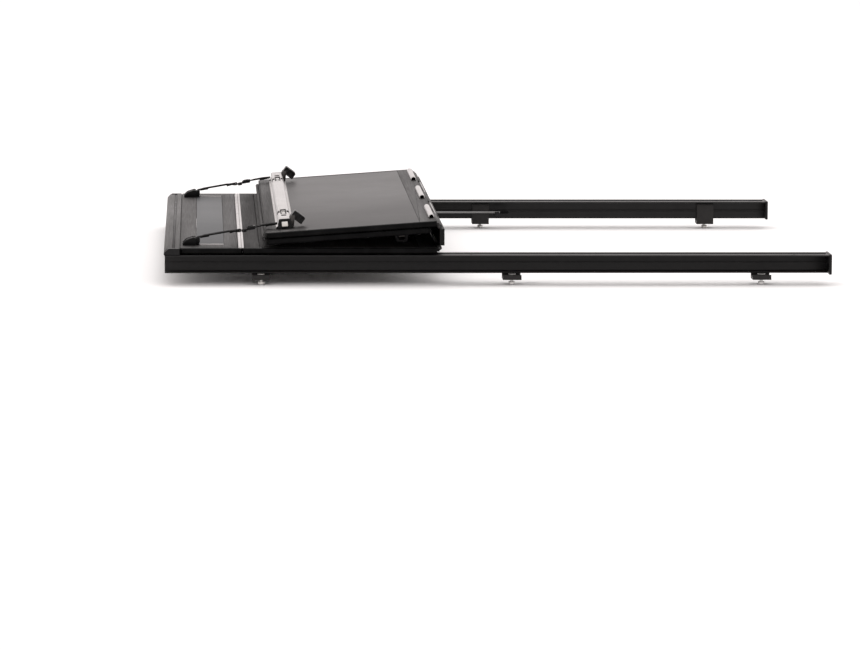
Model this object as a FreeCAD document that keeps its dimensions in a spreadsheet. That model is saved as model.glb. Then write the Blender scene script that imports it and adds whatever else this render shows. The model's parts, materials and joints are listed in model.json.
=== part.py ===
import FreeCAD, Part
import Sketcher
import math
import os

# Folding hard tonneau cover, half open: two rear panels folded onto the second.
# Every sub-part is one document object. Lengths are millimetres.
# Object frame before placement: X from the header's front edge toward the
# tailgate, Y across the bed, Z up from the top face of the flat panels.

V = FreeCAD.Vector
os.makedirs("parts", exist_ok=True)
doc = FreeCAD.newDocument("folding_tonneau")
sheet = doc.addObject("Spreadsheet::Sheet", "dims")

SIZES = [
    ("origin_shift", 826.0, "half the overall length, puts the origin at mid length"),
    ("stand_height", 92.0, "panel top face above the clamp screws' feet"),
    ("half_width", 730.0, "half the cover's width over the seals"),
    ("seal_thick", 8.0, "side seal, across the cover"),
    ("panel_thick", 15.0, "each panel"),
    ("skin_thick", 1.5, "panel skins"),
    ("hinge_gap", 6.0, "panel end to hinge axis"),
    ("barrel_rad", 5.5, "hinge knuckles, outside"),
    ("pin_rad", 2.5, "hinge pins"),
    ("run_gap", 0.05, "radial running clearance on pins"),
    ("header_len", 39.0, "header rail, along the bed"),
    ("first_start", 41.0, "front end of the first panel"),
    ("hinge_one_x", 188.0, "first hinge axis"),
    ("hinge_two_x", 680.0, "second hinge axis"),
    ("link_span", 53.0, "between the link's two hinge axes"),
    ("link_thick", 12.0, "link plate"),
    ("third_len", 422.0, "third panel's frame"),
    ("fourth_len", 402.0, "fourth panel's frame"),
    ("stack_tilt", 4.1, "degrees the folded pair leans, high end aft"),
    ("rail_top", -17.0, "top of the rail flange"),
    ("rail_flange", 3.0, "rail flange thickness"),
    ("rail_inner", 657.0, "rail flange, inner edge"),
    ("rail_outer", 735.0, "rail flange, outer edge"),
    ("leg_inner", 680.0, "rail leg, inner face"),
    ("leg_thick", 4.0, "rail leg thickness"),
    ("rail_start", 2.0, "rail front end"),
    ("rail_end", 1645.0, "rail rear end"),
    ("bar_half", 645.0, "latch bars, half length"),
    ("bar_height", 24.0, "latch bar height"),
    ("bar_wide", 44.0, "latch bar over its flanges"),
    ("bar_crown", 26.0, "latch bar raised channel"),
    ("bar_wall", 2.0, "latch bar wall"),
    ("mid_bar_s", 380.0, "mid latch bar, from the third hinge axis"),
    ("rear_bar_s", 93.0, "rear latch bar, from the third hinge axis"),
    ("bolt_wide", 15.0, "slam bolt along the bed"),
    ("bolt_high", 12.0, "slam bolt height"),
    ("bolt_tip", 668.0, "slam bolt tip, extended"),
    ("rod_pivot_x", 420.0, "prop rod pivot"),
    ("rod_z", -45.0, "prop rod centre line"),
    ("rod_y", 650.0, "prop rod centre line from the middle"),
    ("rod_len", 515.0, "prop rod, pivot to tip"),
    ("rod_rad", 3.0, "prop rod"),
    ("strap_y", 635.0, "strap centre line from the middle"),
    ("strap_wide", 25.0, "strap webbing"),
    ("strap_thick", 2.2, "strap webbing"),
]
VAL = {}
for row, (name, value, note) in enumerate(SIZES, start=1):
    sheet.set("A%d" % row, name)
    sheet.set("B%d" % row, repr(value))
    sheet.set("C%d" % row, note)
    sheet.setAlias("B%d" % row, name)
    VAL[name] = value
doc.recompute()


class Dim:
    """A number with the sheet formula it came from."""

    def __init__(self, val, txt):
        self.val, self.txt = float(val), txt

    @staticmethod
    def of(x):
        return x if isinstance(x, Dim) else Dim(x, "(%r)" % float(x))

    def _op(self, o, sign, swap=False):
        a, b = (Dim.of(o), self) if swap else (self, Dim.of(o))
        val = {"+": a.val + b.val, "-": a.val - b.val, "*": a.val * b.val}.get(sign)
        if val is None:
            val = a.val / b.val
        return Dim(val, "(%s %s %s)" % (a.txt, sign, b.txt))

    def __add__(self, o): return self._op(o, "+")
    def __radd__(self, o): return self._op(o, "+", True)
    def __sub__(self, o): return self._op(o, "-")
    def __rsub__(self, o): return self._op(o, "-", True)
    def __mul__(self, o): return self._op(o, "*")
    def __rmul__(self, o): return self._op(o, "*", True)
    def __truediv__(self, o): return self._op(o, "/")
    def __neg__(self): return self._op(-1.0, "*")


def D(name):
    return Dim(VAL[name], "dims." + name)


def put(obj, prop, x):
    if isinstance(x, Dim):
        obj.setExpression(prop, x.txt)
    else:
        head = prop.split(".")[0]
        if head == prop:
            setattr(obj, prop, x)


NODES = []
XO, ZO = -D("origin_shift"), D("stand_height")


def place(obj, x, y, z, tilt=False):
    x, y, z = Dim.of(x), Dim.of(y), Dim.of(z)
    rot = FreeCAD.Rotation(V(0, 1, 0), -VAL["stack_tilt"]) if tilt else FreeCAD.Rotation()
    obj.Placement = FreeCAD.Placement(V(x.val, y.val, z.val), rot)
    obj.setExpression("Placement.Base.x", x.txt)
    obj.setExpression("Placement.Base.y", y.txt)
    obj.setExpression("Placement.Base.z", z.txt)
    if tilt:
        obj.setExpression("Placement.Rotation.Angle", "-dims.stack_tilt")


def finish(obj, label, home, off=(0, 0, 0)):
    """Name a sub-part and set it in the object. home is flat or stack."""
    if obj.TypeId in ("Part::Box", "Part::Cylinder"):
        obj = group(obj)
    obj.Label = label
    if home == "stack":
        ang = math.radians(VAL["stack_tilt"])
        if any(off):
            # offsets inside the leaning pair turn with it
            ox, oy, oz = [Dim.of(v) for v in off]
            c, s = Dim(math.cos(ang), "cos(dims.stack_tilt * 1 deg)"), Dim(math.sin(ang), "sin(dims.stack_tilt * 1 deg)")
            place(obj, XO + D("hinge_two_x") + ox * c - oz * s, oy,
                  ZO + D("link_span") + ox * s + oz * c, True)
        else:
            place(obj, XO + D("hinge_two_x"), 0, ZO + D("link_span"), True)
    else:
        place(obj, XO + off[0], Dim.of(off[1]), ZO + off[2])
    NODES.append(obj)
    return obj


COUNT = [0]


def nid(stem):
    COUNT[0] += 1
    return "%s_%d" % (stem, COUNT[0])


def sketch(body, role, loops, circles=()):
    sk = body.newObject("Sketcher::SketchObject", nid("sketch"))
    plane = [f for f in body.Origin.OriginFeatures if f.Role == role][0]
    sk.AttachmentSupport = [(plane, "")]
    sk.MapMode = "FlatFace"
    for loop in loops:
        pts = [(Dim.of(a), Dim.of(b)) for a, b in loop]
        n, base = len(pts), sk.GeometryCount
        for i in range(n):
            a, b = pts[i], pts[(i + 1) % n]
            sk.addGeometry(Part.LineSegment(V(a[0].val, a[1].val, 0), V(b[0].val, b[1].val, 0)), False)
        for i in range(n):
            sk.addConstraint(Sketcher.Constraint("Coincident", base + i, 2, base + (i + 1) % n, 1))
        for i, (x, y) in enumerate(pts):
            for kind, d in (("DistanceX", x), ("DistanceY", y)):
                k = sk.addConstraint(Sketcher.Constraint(kind, -1, 1, base + i, 1, d.val))
                if "dims." in d.txt:
                    sk.setExpression("Constraints[%d]" % k, d.txt)
    for cx, cy, r in circles:
        cx, cy, r = Dim.of(cx), Dim.of(cy), Dim.of(r)
        g = sk.addGeometry(Part.Circle(V(cx.val, cy.val, 0), V(0, 0, 1), r.val), False)
        for kind, d in (("DistanceX", cx), ("DistanceY", cy)):
            k = sk.addConstraint(Sketcher.Constraint(kind, -1, 1, g, 3, d.val))
            if "dims." in d.txt:
                sk.setExpression("Constraints[%d]" % k, d.txt)
        k = sk.addConstraint(Sketcher.Constraint("Radius", g, r.val))
        if "dims." in r.txt:
            sk.setExpression("Constraints[%d]" % k, r.txt)
    return sk


def pad(body, sk, length, mid=False, rev=False):
    p = body.newObject("PartDesign::Pad", nid("pad"))
    p.Profile = sk
    length = Dim.of(length)
    p.Length = length.val
    p.setExpression("Length", length.txt)
    p.Midplane = mid
    p.Reversed = rev
    sk.Visibility = False
    body.Tip = p
    return p


def pocket_all(body, sk):
    p = body.newObject("PartDesign::Pocket", nid("pocket"))
    p.Profile = sk
    p.Type = 1
    p.Midplane = True
    sk.Visibility = False
    body.Tip = p
    return p


def new_body():
    return doc.addObject("PartDesign::Body", nid("body"))


def across(loop, half, extra=()):
    """A profile in X and Z, padded both ways across the cover."""
    b = new_body()
    pad(b, sketch(b, "XZ_Plane", [loop] + list(extra)), Dim.of(half) * 2.0, mid=True)
    return b


def along(loop, length, extra=()):
    """A profile in Y and Z, padded along the bed."""
    b = new_body()
    pad(b, sketch(b, "YZ_Plane", [loop] + list(extra)), length)
    return b


def plate(loops, height, circles=()):
    """A plan in X and Y, padded up."""
    b = new_body()
    pad(b, sketch(b, "XY_Plane", loops, circles), height)
    return b


def rect(x0, x1, y0, y1):
    return [(x0, y0), (x1, y0), (x1, y1), (x0, y1)]


def box(x0, x1, y0, y1, z0, z1):
    o = doc.addObject("Part::Box", nid("box"))
    x0, x1, y0, y1, z0, z1 = [Dim.of(v) for v in (x0, x1, y0, y1, z0, z1)]
    o.Length, o.Width, o.Height = (x1 - x0).val, (y1 - y0).val, (z1 - z0).val
    for prop, d in (("Length", x1 - x0), ("Width", y1 - y0), ("Height", z1 - z0),
                    ("Placement.Base.x", x0), ("Placement.Base.y", y0), ("Placement.Base.z", z0)):
        if prop.startswith("Placement"):
            continue
        o.setExpression(prop, d.txt)
    place(o, x0, y0, z0)
    return o


def cyl(axis, rad, lo, hi, u, w):
    """A round bar along axis from lo to hi. u, w: its centre in the other two axes, in X, Y, Z order."""
    o = doc.addObject("Part::Cylinder", nid("cyl"))
    rad, lo, hi, u, w = [Dim.of(v) for v in (rad, lo, hi, u, w)]
    o.Radius, o.Height = rad.val, (hi - lo).val
    o.setExpression("Radius", rad.txt)
    o.setExpression("Height", (hi - lo).txt)
    if axis == "y":
        rot, base = FreeCAD.Rotation(V(1, 0, 0), -90), (u, lo, w)
    elif axis == "x":
        rot, base = FreeCAD.Rotation(V(0, 1, 0), 90), (lo, u, w)
    else:
        rot, base = FreeCAD.Rotation(), (u, w, lo)
    o.Placement = FreeCAD.Placement(V(*[b.val for b in base]), rot)
    for k, b in zip("xyz", base):
        o.setExpression("Placement.Base." + k, b.txt)
    return o


def fuse(*parts):
    o = doc.addObject("Part::MultiFuse", nid("fuse"))
    o.Shapes = list(parts)
    o.Refine = False
    return o


def cut(a, b):
    o = doc.addObject("Part::Cut", nid("cut"))
    o.Base, o.Tool = a, b
    return o


def group(*parts):
    o = doc.addObject("Part::Compound", nid("set"))
    o.Links = list(parts)
    return o


def prism(loop, y0, y1):
    """A profile in X and Z from y0 to y1."""
    b = new_body()
    y0, y1 = Dim.of(y0), Dim.of(y1)
    # a pad on the XZ plane grows toward -Y
    pad(b, sketch(b, "XZ_Plane", [loop]), y1 - y0)
    place(b, 0, y1, 0)
    return b


W, ST, PT, SK = D("half_width"), D("seal_thick"), D("panel_thick"), D("skin_thick")
HG, BR, PR, RG = D("hinge_gap"), D("barrel_rad"), D("pin_rad"), D("run_gap")
WI = W - ST                       # panel frames, half width
H1, H2, LS = D("hinge_one_x"), D("hinge_two_x"), D("link_span")

# ---------------------------------------------------------------- rails
RT, RF, RI, RO = D("rail_top"), D("rail_flange"), D("rail_inner"), D("rail_outer")
LI, LT = D("leg_inner"), D("leg_thick")
RLEN = D("rail_end") - D("rail_start")
CLAMPS = (240.0, 860.0, 1480.0)
for side, sg in (("left", -1.0), ("right", 1.0)):
    prof = [(RI * sg, RT), (RO * sg, RT), (RO * sg, RT - RF), ((LI + LT) * sg, RT - RF),
            ((LI + LT) * sg, RT - 44.0), ((LI + 20.0) * sg, RT - 44.0), ((LI + 20.0) * sg, RT - 48.0),
            (LI * sg, RT - 48.0), (LI * sg, RT - RF), (RI * sg, RT - RF)]
    b = along(prof, RLEN)
    # fastening holes in the open half of the flange
    sk = sketch(b, "XY_Plane", [], [(758.0 - 2.0, 722.0 * sg, 3.3), (1558.0 - 2.0, 722.0 * sg, 3.3)])
    pocket_all(b, sk)
    finish(b, "side_rail_" + side, "flat", (D("rail_start"), 0, 0))

seals = []
for sg in (-1.0, 1.0):
    lo, hi = (690.0, 705.0) if sg > 0 else (-705.0, -690.0)
    seals.append(box(45.0, D("rail_end") - 5.0, lo, hi, RT, RT + 1.5))
finish(group(*seals), "rail_seals", "flat")

caps = []
for sg in (-1.0, 1.0):
    lo, hi = (RI - 1.0, RO + 1.0) if sg > 0 else (-RO - 1.0, -RI + 1.0)
    caps.append(box(D("rail_end"), D("rail_end") + 7.0, lo, hi, RT - 49.0, RT + 1.5))
finish(group(*caps), "rail_end_caps", "flat")

clamps, screws = [], []
for cx in CLAMPS:
    for sg in (-1.0, 1.0):
        prof = [((LI - 7.0) * sg, RT - 8.0), (LI * sg, RT - 8.0), (LI * sg, RT - 56.0), ((LI + 36.0) * sg, RT - 56.0),
                ((LI + 36.0) * sg, RT - 51.0), ((LI + 42.0) * sg, RT - 51.0), ((LI + 42.0) * sg, RT - 63.0),
                ((LI - 7.0) * sg, RT - 63.0)]
        b = new_body()
        pad(b, sketch(b, "YZ_Plane", [prof]), 46.0)
        sk = sketch(b, "XY_Plane", [], [(23.0, (LI + 23.0) * sg, 4.05)])
        pocket_all(b, sk)
        place(b, cx - 23.0, 0, 0)
        clamps.append(b)
        y = (LI + 23.0) * sg
        shank = cyl("z", 4.0, RT - 70.0, RT - 50.0, cx, y)
        head = cyl("z", 8.0, RT - 75.0, RT - 68.0, cx, y)
        washer = cyl("z", 9.5, RT - 50.5, RT - 48.6, cx, y)
        screws.append(fuse(shank, head, washer))
finish(group(*clamps), "rail_clamps", "flat")
finish(group(*screws), "clamp_screws", "flat")

# ---------------------------------------------------------------- header
HL = D("header_len")
hprof = [(0.0, RT), (HL, RT), (HL, -1.0), (HL - 12.0, -1.0), (HL - 12.0, -7.0), (21.0, -7.0), (21.0, -2.0),
         (8.0, -2.0), (4.0, -6.0), (0.0, -12.0)]
finish(across(hprof, WI), "header_rail", "flat")
finish(group(box(21.3, HL - 12.3, -WI + 2.0, WI - 2.0, -7.0, -2.6),
             box(6.0, 33.0, -648.0, 648.0, RT - 7.0, RT)), "header_seal", "flat")
hc = []
for sg in (-1.0, 1.0):
    lo, hi = (WI, W + 4.0) if sg > 0 else (-W - 4.0, -WI)
    hc.append(prism([(0.0, RT), (HL, RT), (HL, -0.5), (12.0, -0.5), (0.0, -11.0)], lo, hi))
finish(group(*hc), "header_corner_caps", "flat")


# ---------------------------------------------------------------- hinges
SEG = (-722.0, -433.0, -144.5, 144.5, 433.0, 722.0)


def leaf(which, side, drop=10.0, gap=0.6, web_z=None):
    """Knuckles round the origin with webs to the panel end. side is +1 or -1 along X; drop < 0 puts the web above."""
    out = []
    for k in which:
        lo, hi = SEG[k] + gap, SEG[k + 1] - gap
        barrel = cyl("y", BR, lo, hi, 0, 0)
        a, b = (0.0, HG) if side > 0 else (-HG, 0.0)
        z0, z1 = web_z or ((-9.0, -2.0) if drop > 0 else (2.0, 9.0))
        web = box(a, b, lo, hi, z0, z1)
        bore = cyl("y", PR + RG, lo - 1.0, hi + 1.0, 0, 0)
        out.append(cut(fuse(barrel, web), bore))
    return out


# the first hinge is sunk so that its knuckles end flush with the panels' tops
finish(group(*leaf((0, 2, 4), -1, web_z=(-4.0, 4.0))), "hinge_1_front_leaf", "flat", (H1, 0, -BR))
finish(group(*leaf((1, 3), 1, web_z=(-4.0, 4.0))), "hinge_1_rear_leaf", "flat", (H1, 0, -BR))
finish(cyl("y", PR, -722.0, 722.0, 0, 0), "hinge_1_pin", "flat", (H1, 0, -BR))


# ---------------------------------------------------------------- panels
def ring(x0, x1, z0, z1, wx0, wx1, wy):
    b = plate([rect(x0, x1, -WI, WI), rect(wx0, wx1, -Dim.of(wy), Dim.of(wy))], Dim.of(z1) - z0)
    place(b, 0, 0, z0)
    return b


def panel(tag, x0, x1, wx0, wx1, wy, home, off=(0, 0, 0), up=1.0, lift=0.0, names=("frame", "top_skin", "core", "bottom_skin")):
    """A framed sandwich panel. up=+1: top face at z=0 and body below; up=-1: top face at z=0 and body above."""
    lift = Dim.of(lift)
    z0, z1 = (-PT, -lift) if up > 0 else (lift, PT)
    b = plate([rect(x0, x1, -WI, WI), rect(wx0, wx1, -Dim.of(wy), Dim.of(wy))], z1 - z0)
    finish(b, "panel_%s_%s" % (tag, names[0]), home, (off[0], off[1], Dim.of(off[2]) + z0))
    g = 0.5
    top = (z1 - SK - 0.6, z1 - 0.6) if up > 0 else (z0 + 0.6, z0 + SK + 0.6)
    bot = (z0 + 0.6, z0 + SK + 0.6) if up > 0 else (z1 - SK - 0.6, z1 - 0.6)
    lo, hi = (bot[1], top[0]) if up > 0 else (top[1], bot[0])
    if len(names) < 4:
        # the core reaches the underside where there is no lower skin
        lo = z0 + 0.6
    for nm, (a, c) in zip(names[1:], (top, (lo, hi), bot)):
        finish(box(wx0 + g, wx1 - g, -Dim.of(wy) + g, Dim.of(wy) - g, a, c), "panel_%s_%s" % (tag, nm), home, off)


def side_seals(tag, x0, x1, z0, z1, home):
    out = []
    for lo, hi in ((-W, -WI), (WI, W)):
        out.append(box(x0, x1, lo, hi, z0, z1))
    finish(group(*out), "panel_%s_side_seals" % tag, home)


P1A, P1B = D("first_start"), H1 - HG
panel("1", P1A, P1B, 80.0, 149.0, 640.0, "flat", names=("frame", "plate", "core"))
side_seals("1", P1A, P1B, -PT, -0.3, "flat")
P2A, P2B = H1 + HG, H2 - HG
panel("2", P2A, P2B, P2A + 42.0, P2B - 42.0, 700.0, "flat")
side_seals("2", P2A, P2B, -PT, -0.3, "flat")
finish(group(*leaf((0, 2, 4), -1)), "hinge_2_front_leaf", "flat", (H2, 0, 0))
finish(cyl("y", PR, -722.0, 722.0, 0, 0), "hinge_2_pin", "flat", (H2, 0, 0))

# ---------------------------------------------------------------- link, standing up on the second hinge
LTK = D("link_thick")
body_l = box(0.8, LTK, -WI, WI, HG, LS - HG)
kn = []
for k in (1, 3):
    lo, hi = SEG[k] + 0.6, SEG[k + 1] - 0.6
    for zc, a, b in ((0.0, 0.0, HG + 0.01), (LS, LS - HG - 0.01, LS)):
        kn.append(cyl("y", BR, lo, hi, 0.0, zc))
        kn.append(box(2.0, 9.0, lo, hi, a, b))
lk = fuse(body_l, *kn)
bores = fuse(*[cyl("y", PR + RG, -724.0, 724.0, 0.0, zc) for zc in (0.0, LS)])
finish(cut(lk, bores), "link_plate", "flat", (H2, 0, 0))

# ---------------------------------------------------------------- folded pair, in its own leaning frame
# X runs from the third hinge axis toward the tailgate, so the panels lie at minus X.
T3, T4 = D("third_len"), D("fourth_len")
H4 = -(HG + T3 + HG)              # fourth hinge axis
finish(group(*leaf((0, 2, 4), -1, drop=-10.0)), "hinge_3_rear_leaf", "stack")
finish(cyl("y", PR, -722.0, 722.0, 0, 0), "hinge_3_pin", "stack")
P3A, P3B = -(HG + T3), -HG
panel("3", P3A, P3B, P3A + 36.0, P3B - 42.0, 710.0, "stack", up=-1.0, lift=0.5)
side_seals("3", P3A, P3B, 0.6, PT - 0.3, "stack")
P4A, P4B = -(HG + T3), -(HG + T3) + T4
panel("4", P4A, P4B, P4A + 12.0, P4B - 14.0, 710.0, "stack", up=1.0, lift=0.5)
side_seals("4", P4A, P4B, -PT + 0.3, -0.6, "stack")
blocks = []
for lo, hi in ((-648.0, -388.0), (-130.0, 130.0), (388.0, 648.0)):
    blocks.append(prism([(-23.0, PT), (-9.0, PT), (-9.5, PT + 6.5), (-12.5, PT + 10.0), (-19.0, PT + 10.0), (-22.5, PT + 6.5)], lo, hi))
finish(group(*blocks), "hinge_3_blocks", "stack")

h4f, h4r = [], []
for k in range(5):
    lo, hi = SEG[k] + 0.6, SEG[k + 1] - 0.6
    z0, z1 = (0.5, 9.0) if k in (0, 2, 4) else (-9.0, -0.5)
    kn4 = fuse(cyl("y", 5.0, lo, hi, 0.0, 0.0), box(0.0, HG, lo, hi, z0, z1))
    h4 = cut(kn4, cyl("y", PR + RG, lo - 1, hi + 1, 0.0, 0.0))
    (h4f if k in (0, 2, 4) else h4r).append(h4)
finish(group(*(h4f + h4r)), "hinge_4_leaves", "stack", (H4, 0, 0))
finish(cyl("y", PR, -722.0, 722.0, 0, 0), "hinge_4_pin", "stack", (H4, 0, 0))
finish(box(P4B, P4B + 5.0, -WI, WI, -PT + 0.5, -1.0), "tail_seal", "stack")

# ---------------------------------------------------------------- latch bars
BH, BW, BC, BT, BL = D("bar_height"), D("bar_wide"), D("bar_crown"), D("bar_wall"), D("bar_half")


def hat(cx, base, up):
    """Hat profile: two flanges and a raised channel. base: the face it lies on; up +1 or -1."""
    u = up
    pts = [(cx - BW / 2.0, base), (cx - BC / 2.0 + BT, base), (cx - BC / 2.0 + BT, base + (BH - BT) * u),
           (cx + BC / 2.0 - BT, base + (BH - BT) * u), (cx + BC / 2.0 - BT, base), (cx + BW / 2.0, base),
           (cx + BW / 2.0, base + 2.5 * u), (cx + BC / 2.0, base + 2.5 * u), (cx + BC / 2.0, base + BH * u),
           (cx - BC / 2.0, base + BH * u), (cx - BC / 2.0, base + 2.5 * u), (cx - BW / 2.0, base + 2.5 * u)]
    return across(pts, BL)


MB, RB = -D("mid_bar_s"), -D("rear_bar_s")
finish(hat(MB, PT, 1.0), "latch_bar_mid", "stack")
finish(hat(RB, -PT, -1.0), "latch_bar_rear", "stack")
housings = []
BWD, BHG, TIP = D("bolt_wide"), D("bolt_high"), D("bolt_tip")
for cx, base, u in ((MB, PT, 1.0), (RB, -PT, -1.0)):
    for sg in (-1.0, 1.0):
        lo, hi = (560.0, BL + 4.0) if sg > 0 else (-BL - 4.0, -560.0)
        z0, z1 = (base + 0.2, base + 21.8) if u > 0 else (base - 21.8, base - 0.2)
        blk = box(cx - 10.8, cx + 10.8, lo, hi, z0, z1)
        s0, s1 = (base + 5.9, base + 6.1 + BHG) if u > 0 else (base - 6.1 - BHG, base - 5.9)
        lo2, hi2 = (552.0, BL + 12.0) if sg > 0 else (-BL - 12.0, -552.0)
        slot = box(cx - BWD / 2.0 - 0.1, cx + BWD / 2.0 + 0.1, lo2, hi2, s0, s1)
        housings.append(cut(blk, slot))
finish(group(*housings), "latch_housings", "stack")
cables = [cyl("y", 2.0, -540.0, 540.0, MB, PT + 12.0), cyl("y", 2.0, -540.0, 540.0, RB, -PT - 12.0)]
finish(group(*cables), "release_cables", "stack")
for nm, cx, base, u in (("mid", MB, PT, 1.0), ("rear", RB, -PT, -1.0)):
    for side, sg in (("left", -1.0), ("right", 1.0)):
        lo, hi = (578.0, TIP) if sg > 0 else (-TIP, -578.0)
        z0, z1 = (base + 6.0, base + 6.0 + BHG) if u > 0 else (base - 6.0 - BHG, base - 6.0)
        # the tip is bevelled on the face that meets the rail first when closing
        cx0, cx1 = cx - BWD / 2.0, cx + BWD / 2.0
        bl = box(cx0, cx1, lo, hi, z0, z1)
        b2 = new_body()
        tip = TIP * sg
        far = (z1 if u > 0 else z0)
        near = (z0 if u > 0 else z1)
        pad(b2, sketch(b2, "YZ_Plane", [[(tip + 1.0 * sg, far + 1.0 * u), (tip + 1.0 * sg, near + 3.0 * u), (tip, near + 3.0 * u), (tip - 7.0 * sg, far), (tip - 7.0 * sg, far + 1.0 * u)]]), BWD + 2.0)
        place(b2, cx0 - 1.0, 0, 0)
        finish(cut(bl, b2), "%s_bolt_%s" % (nm, side), "stack")

# ---------------------------------------------------------------- mid latch levers
PVX, PVZ = MB + 21.5, PT + 27.0   # lever pivot
ca, sa = math.cos(math.radians(40)), math.sin(math.radians(40))
LCX, LCZ = MB + 34.0, PT + 25.0   # lever centre
ears = []
for side, sg in (("left", -1.0), ("right", 1.0)):
    y0, y1 = (598.0, 640.0) if sg > 0 else (-640.0, -598.0)
    pts = []
    for a, c in ((-16, -10), (17, -10), (17, 5), (12, 9), (-13, 9), (-16, 6)):
        pts.append((LCX + (a * ca + c * sa), LCZ + (-a * sa + c * ca)))
    lv = prism(pts, y0, y1)
    bore = cyl("y", 2.5 + RG, y0 - 1.0, y1 + 1.0, PVX, PVZ)
    rib = prism([(LCX + 2.0 * ca + 11.0 * sa, LCZ - 2.0 * sa + 11.0 * ca), (LCX + 2.0 * ca + 8.5 * sa, LCZ - 2.0 * sa + 8.5 * ca),
                 (LCX + 11.0 * ca + 8.5 * sa, LCZ - 11.0 * sa + 8.5 * ca), (LCX + 11.0 * ca + 11.0 * sa, LCZ - 11.0 * sa + 11.0 * ca)],
                y0 + 4.0, y1 - 4.0)
    finish(cut(fuse(lv, rib), bore), "mid_lever_" + side, "stack")
    for e0, e1 in ((y0 - 3.0, y0 - 0.5), (y1 + 0.5, y1 + 3.0)):
        ears.append(prism([(MB + 13.0, PT + 2.5), (MB + 22.0, PT + 2.5), (MB + 26.0, PT + 24.0), (MB + 26.0, PT + 31.0),
                           (MB + 17.0, PT + 31.0), (MB + 13.0, PT + 24.0)], e0, e1))
    ears.append(cyl("y", 2.5, y0 - 3.0, y1 + 3.0, PVX, PVZ))
finish(fuse(*ears), "lever_brackets", "stack")

# feet that hold the pair off the second panel, on the rear latch bar
feet = []
for y in (-560.0, -190.0, 190.0, 560.0):
    zt = -PT - BH
    sn = math.sin(math.radians(VAL["stack_tilt"]))
    cs = math.cos(math.radians(VAL["stack_tilt"]))
    feet.append(box(RB - 11.0, RB + 11.0, y - 22.0, y + 22.0, zt - 5.6, zt))
finish(group(*feet), "bar_feet", "stack")

# ---------------------------------------------------------------- straps
SY, SW, SH = D("strap_y"), D("strap_wide"), D("strap_thick")
anchors = []
fronts, rears, sliders = [], [], []
slope = 0.177


def zline(x, up=0.0):
    return 17.0 + (x - 80.0) * slope + up


def ribbon(x0, x1, y0, y1, up=0.0, thick=None):
    t = thick or SH
    return prism([(x0, zline(x0, up)), (x1, zline(x1, up)), (x1, Dim.of(zline(x1, up)) + t), (x0, Dim.of(zline(x0, up)) + t)], y0, y1)


for sg in (-1.0, 1.0):
    y0, y1 = (SY - SW / 2.0, SY + SW / 2.0) if sg > 0 else (-SY - SW / 2.0, -SY + SW / 2.0)
    a0, a1 = (SY - 25.0, SY + 25.0) if sg > 0 else (-SY - 25.0, -SY + 25.0)
    ym = SY if sg > 0 else -SY
    # a wedge block, two cheeks behind it, and the cross bar the webbing goes round
    cheeks = [prism([(74.0, 0.6), (86.0, 0.6), (89.0, 8.0), (88.6, 17.6), (84.0, 18.6), (74.0, 14.0)], ym + c, ym + c + 2.4) for c in (-16.0, 13.6)]
    anchors.append(fuse(prism([(46.0, 0.0), (78.0, 0.0), (78.0, 18.0), (71.0, 19.0), (54.0, 13.0), (46.0, 5.0)], a0, a1),
                        cyl("y", 2.3, ym - 14.0, ym + 14.0, 85.6, 15.4), *cheeks))
    fronts.append(ribbon(89.5, 191.5, y0, y1))
    rears.append(ribbon(192.0, 203.5, y0, y1))
    rears.append(ribbon(192.0, 203.5, y0, y1, up=-6.5))
    sliders.append(prism([(204.0, zline(204.0, -3.5)), (226.0, zline(226.0, -3.5)), (226.0, zline(226.0, 5.0)), (204.0, zline(204.0, 5.0))], y0 - 3.0, y1 + 3.0))
    rears.append(ribbon(227.0, 283.0, y0, y1))
finish(group(*anchors), "strap_anchors", "flat")
finish(group(*fronts), "strap_front", "flat")
finish(group(*rears), "strap_rear", "flat")
finish(group(*sliders), "strap_adjusters", "flat")

# ---------------------------------------------------------------- prop rods
RX, RZ, RY, RR, RL = D("rod_pivot_x"), D("rod_z"), D("rod_y"), D("rod_rad"), D("rod_len")
holders, clips = [], []
for side, sg in (("left", -1.0), ("right", 1.0)):
    ylo, yhi = (RY - 5.0, RY + 5.0) if sg > 0 else (-RY - 5.0, -RY + 5.0)
    eye = cyl("y", 9.0, ylo, yhi, 0.0, 0.0)
    shaft = cyl("x", RR, 4.0, RL - 4.0, RY * sg, 0.0)
    ball = doc.addObject("Part::Sphere", nid("ball"))
    ball.Radius = VAL["rod_rad"] + 0.8
    ball.setExpression("Radius", "dims.rod_rad + 0.8")
    place(ball, RL - 4.8, RY * sg, 0)
    finish(cut(fuse(eye, shaft, ball), cyl("y", 3.0 + RG, ylo - 1.0, yhi + 1.0, 0.0, 0.0)), "prop_rod_" + side, "flat", (RX, 0, RZ))
    p0, p1 = (LI - 4.0, LI) if sg > 0 else (-LI, -LI + 4.0)
    q0, q1 = (RY - 9.0, LI - 4.0) if sg > 0 else (-LI + 4.0, -RY + 9.0)
    k0, k1 = (RY - 9.0, RY - 6.0) if sg > 0 else (-RY + 6.0, -RY + 9.0)
    c0, c1 = (RY + 6.0, LI - 4.0) if sg > 0 else (-LI + 4.0, -RY - 6.0)
    holders.append(fuse(box(-15.0, 15.0, p0, p1, -15.0, 17.0), cyl("y", 3.0, q0, q1, 0.0, 0.0), cyl("y", 6.0, k0, k1, 0.0, 0.0),
                        cyl("y", 8.0, c0, c1, 0.0, 0.0)))
    b0, b1 = (RY - 9.0, LI) if sg > 0 else (-LI, -RY + 9.0)
    s0, s1 = (RY - RR - 0.3, RY + RR + 0.3) if sg > 0 else (-RY - RR - 0.3, -RY + RR + 0.3)
    clips.append(cut(box(478.0, 490.0, b0, b1, -9.0, 2.0),
                     fuse(cyl("x", RR + 0.3, 470.0, 500.0, RY * sg, 0.0), box(470.0, 500.0, s0, s1, 0.0, 9.0))))
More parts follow.
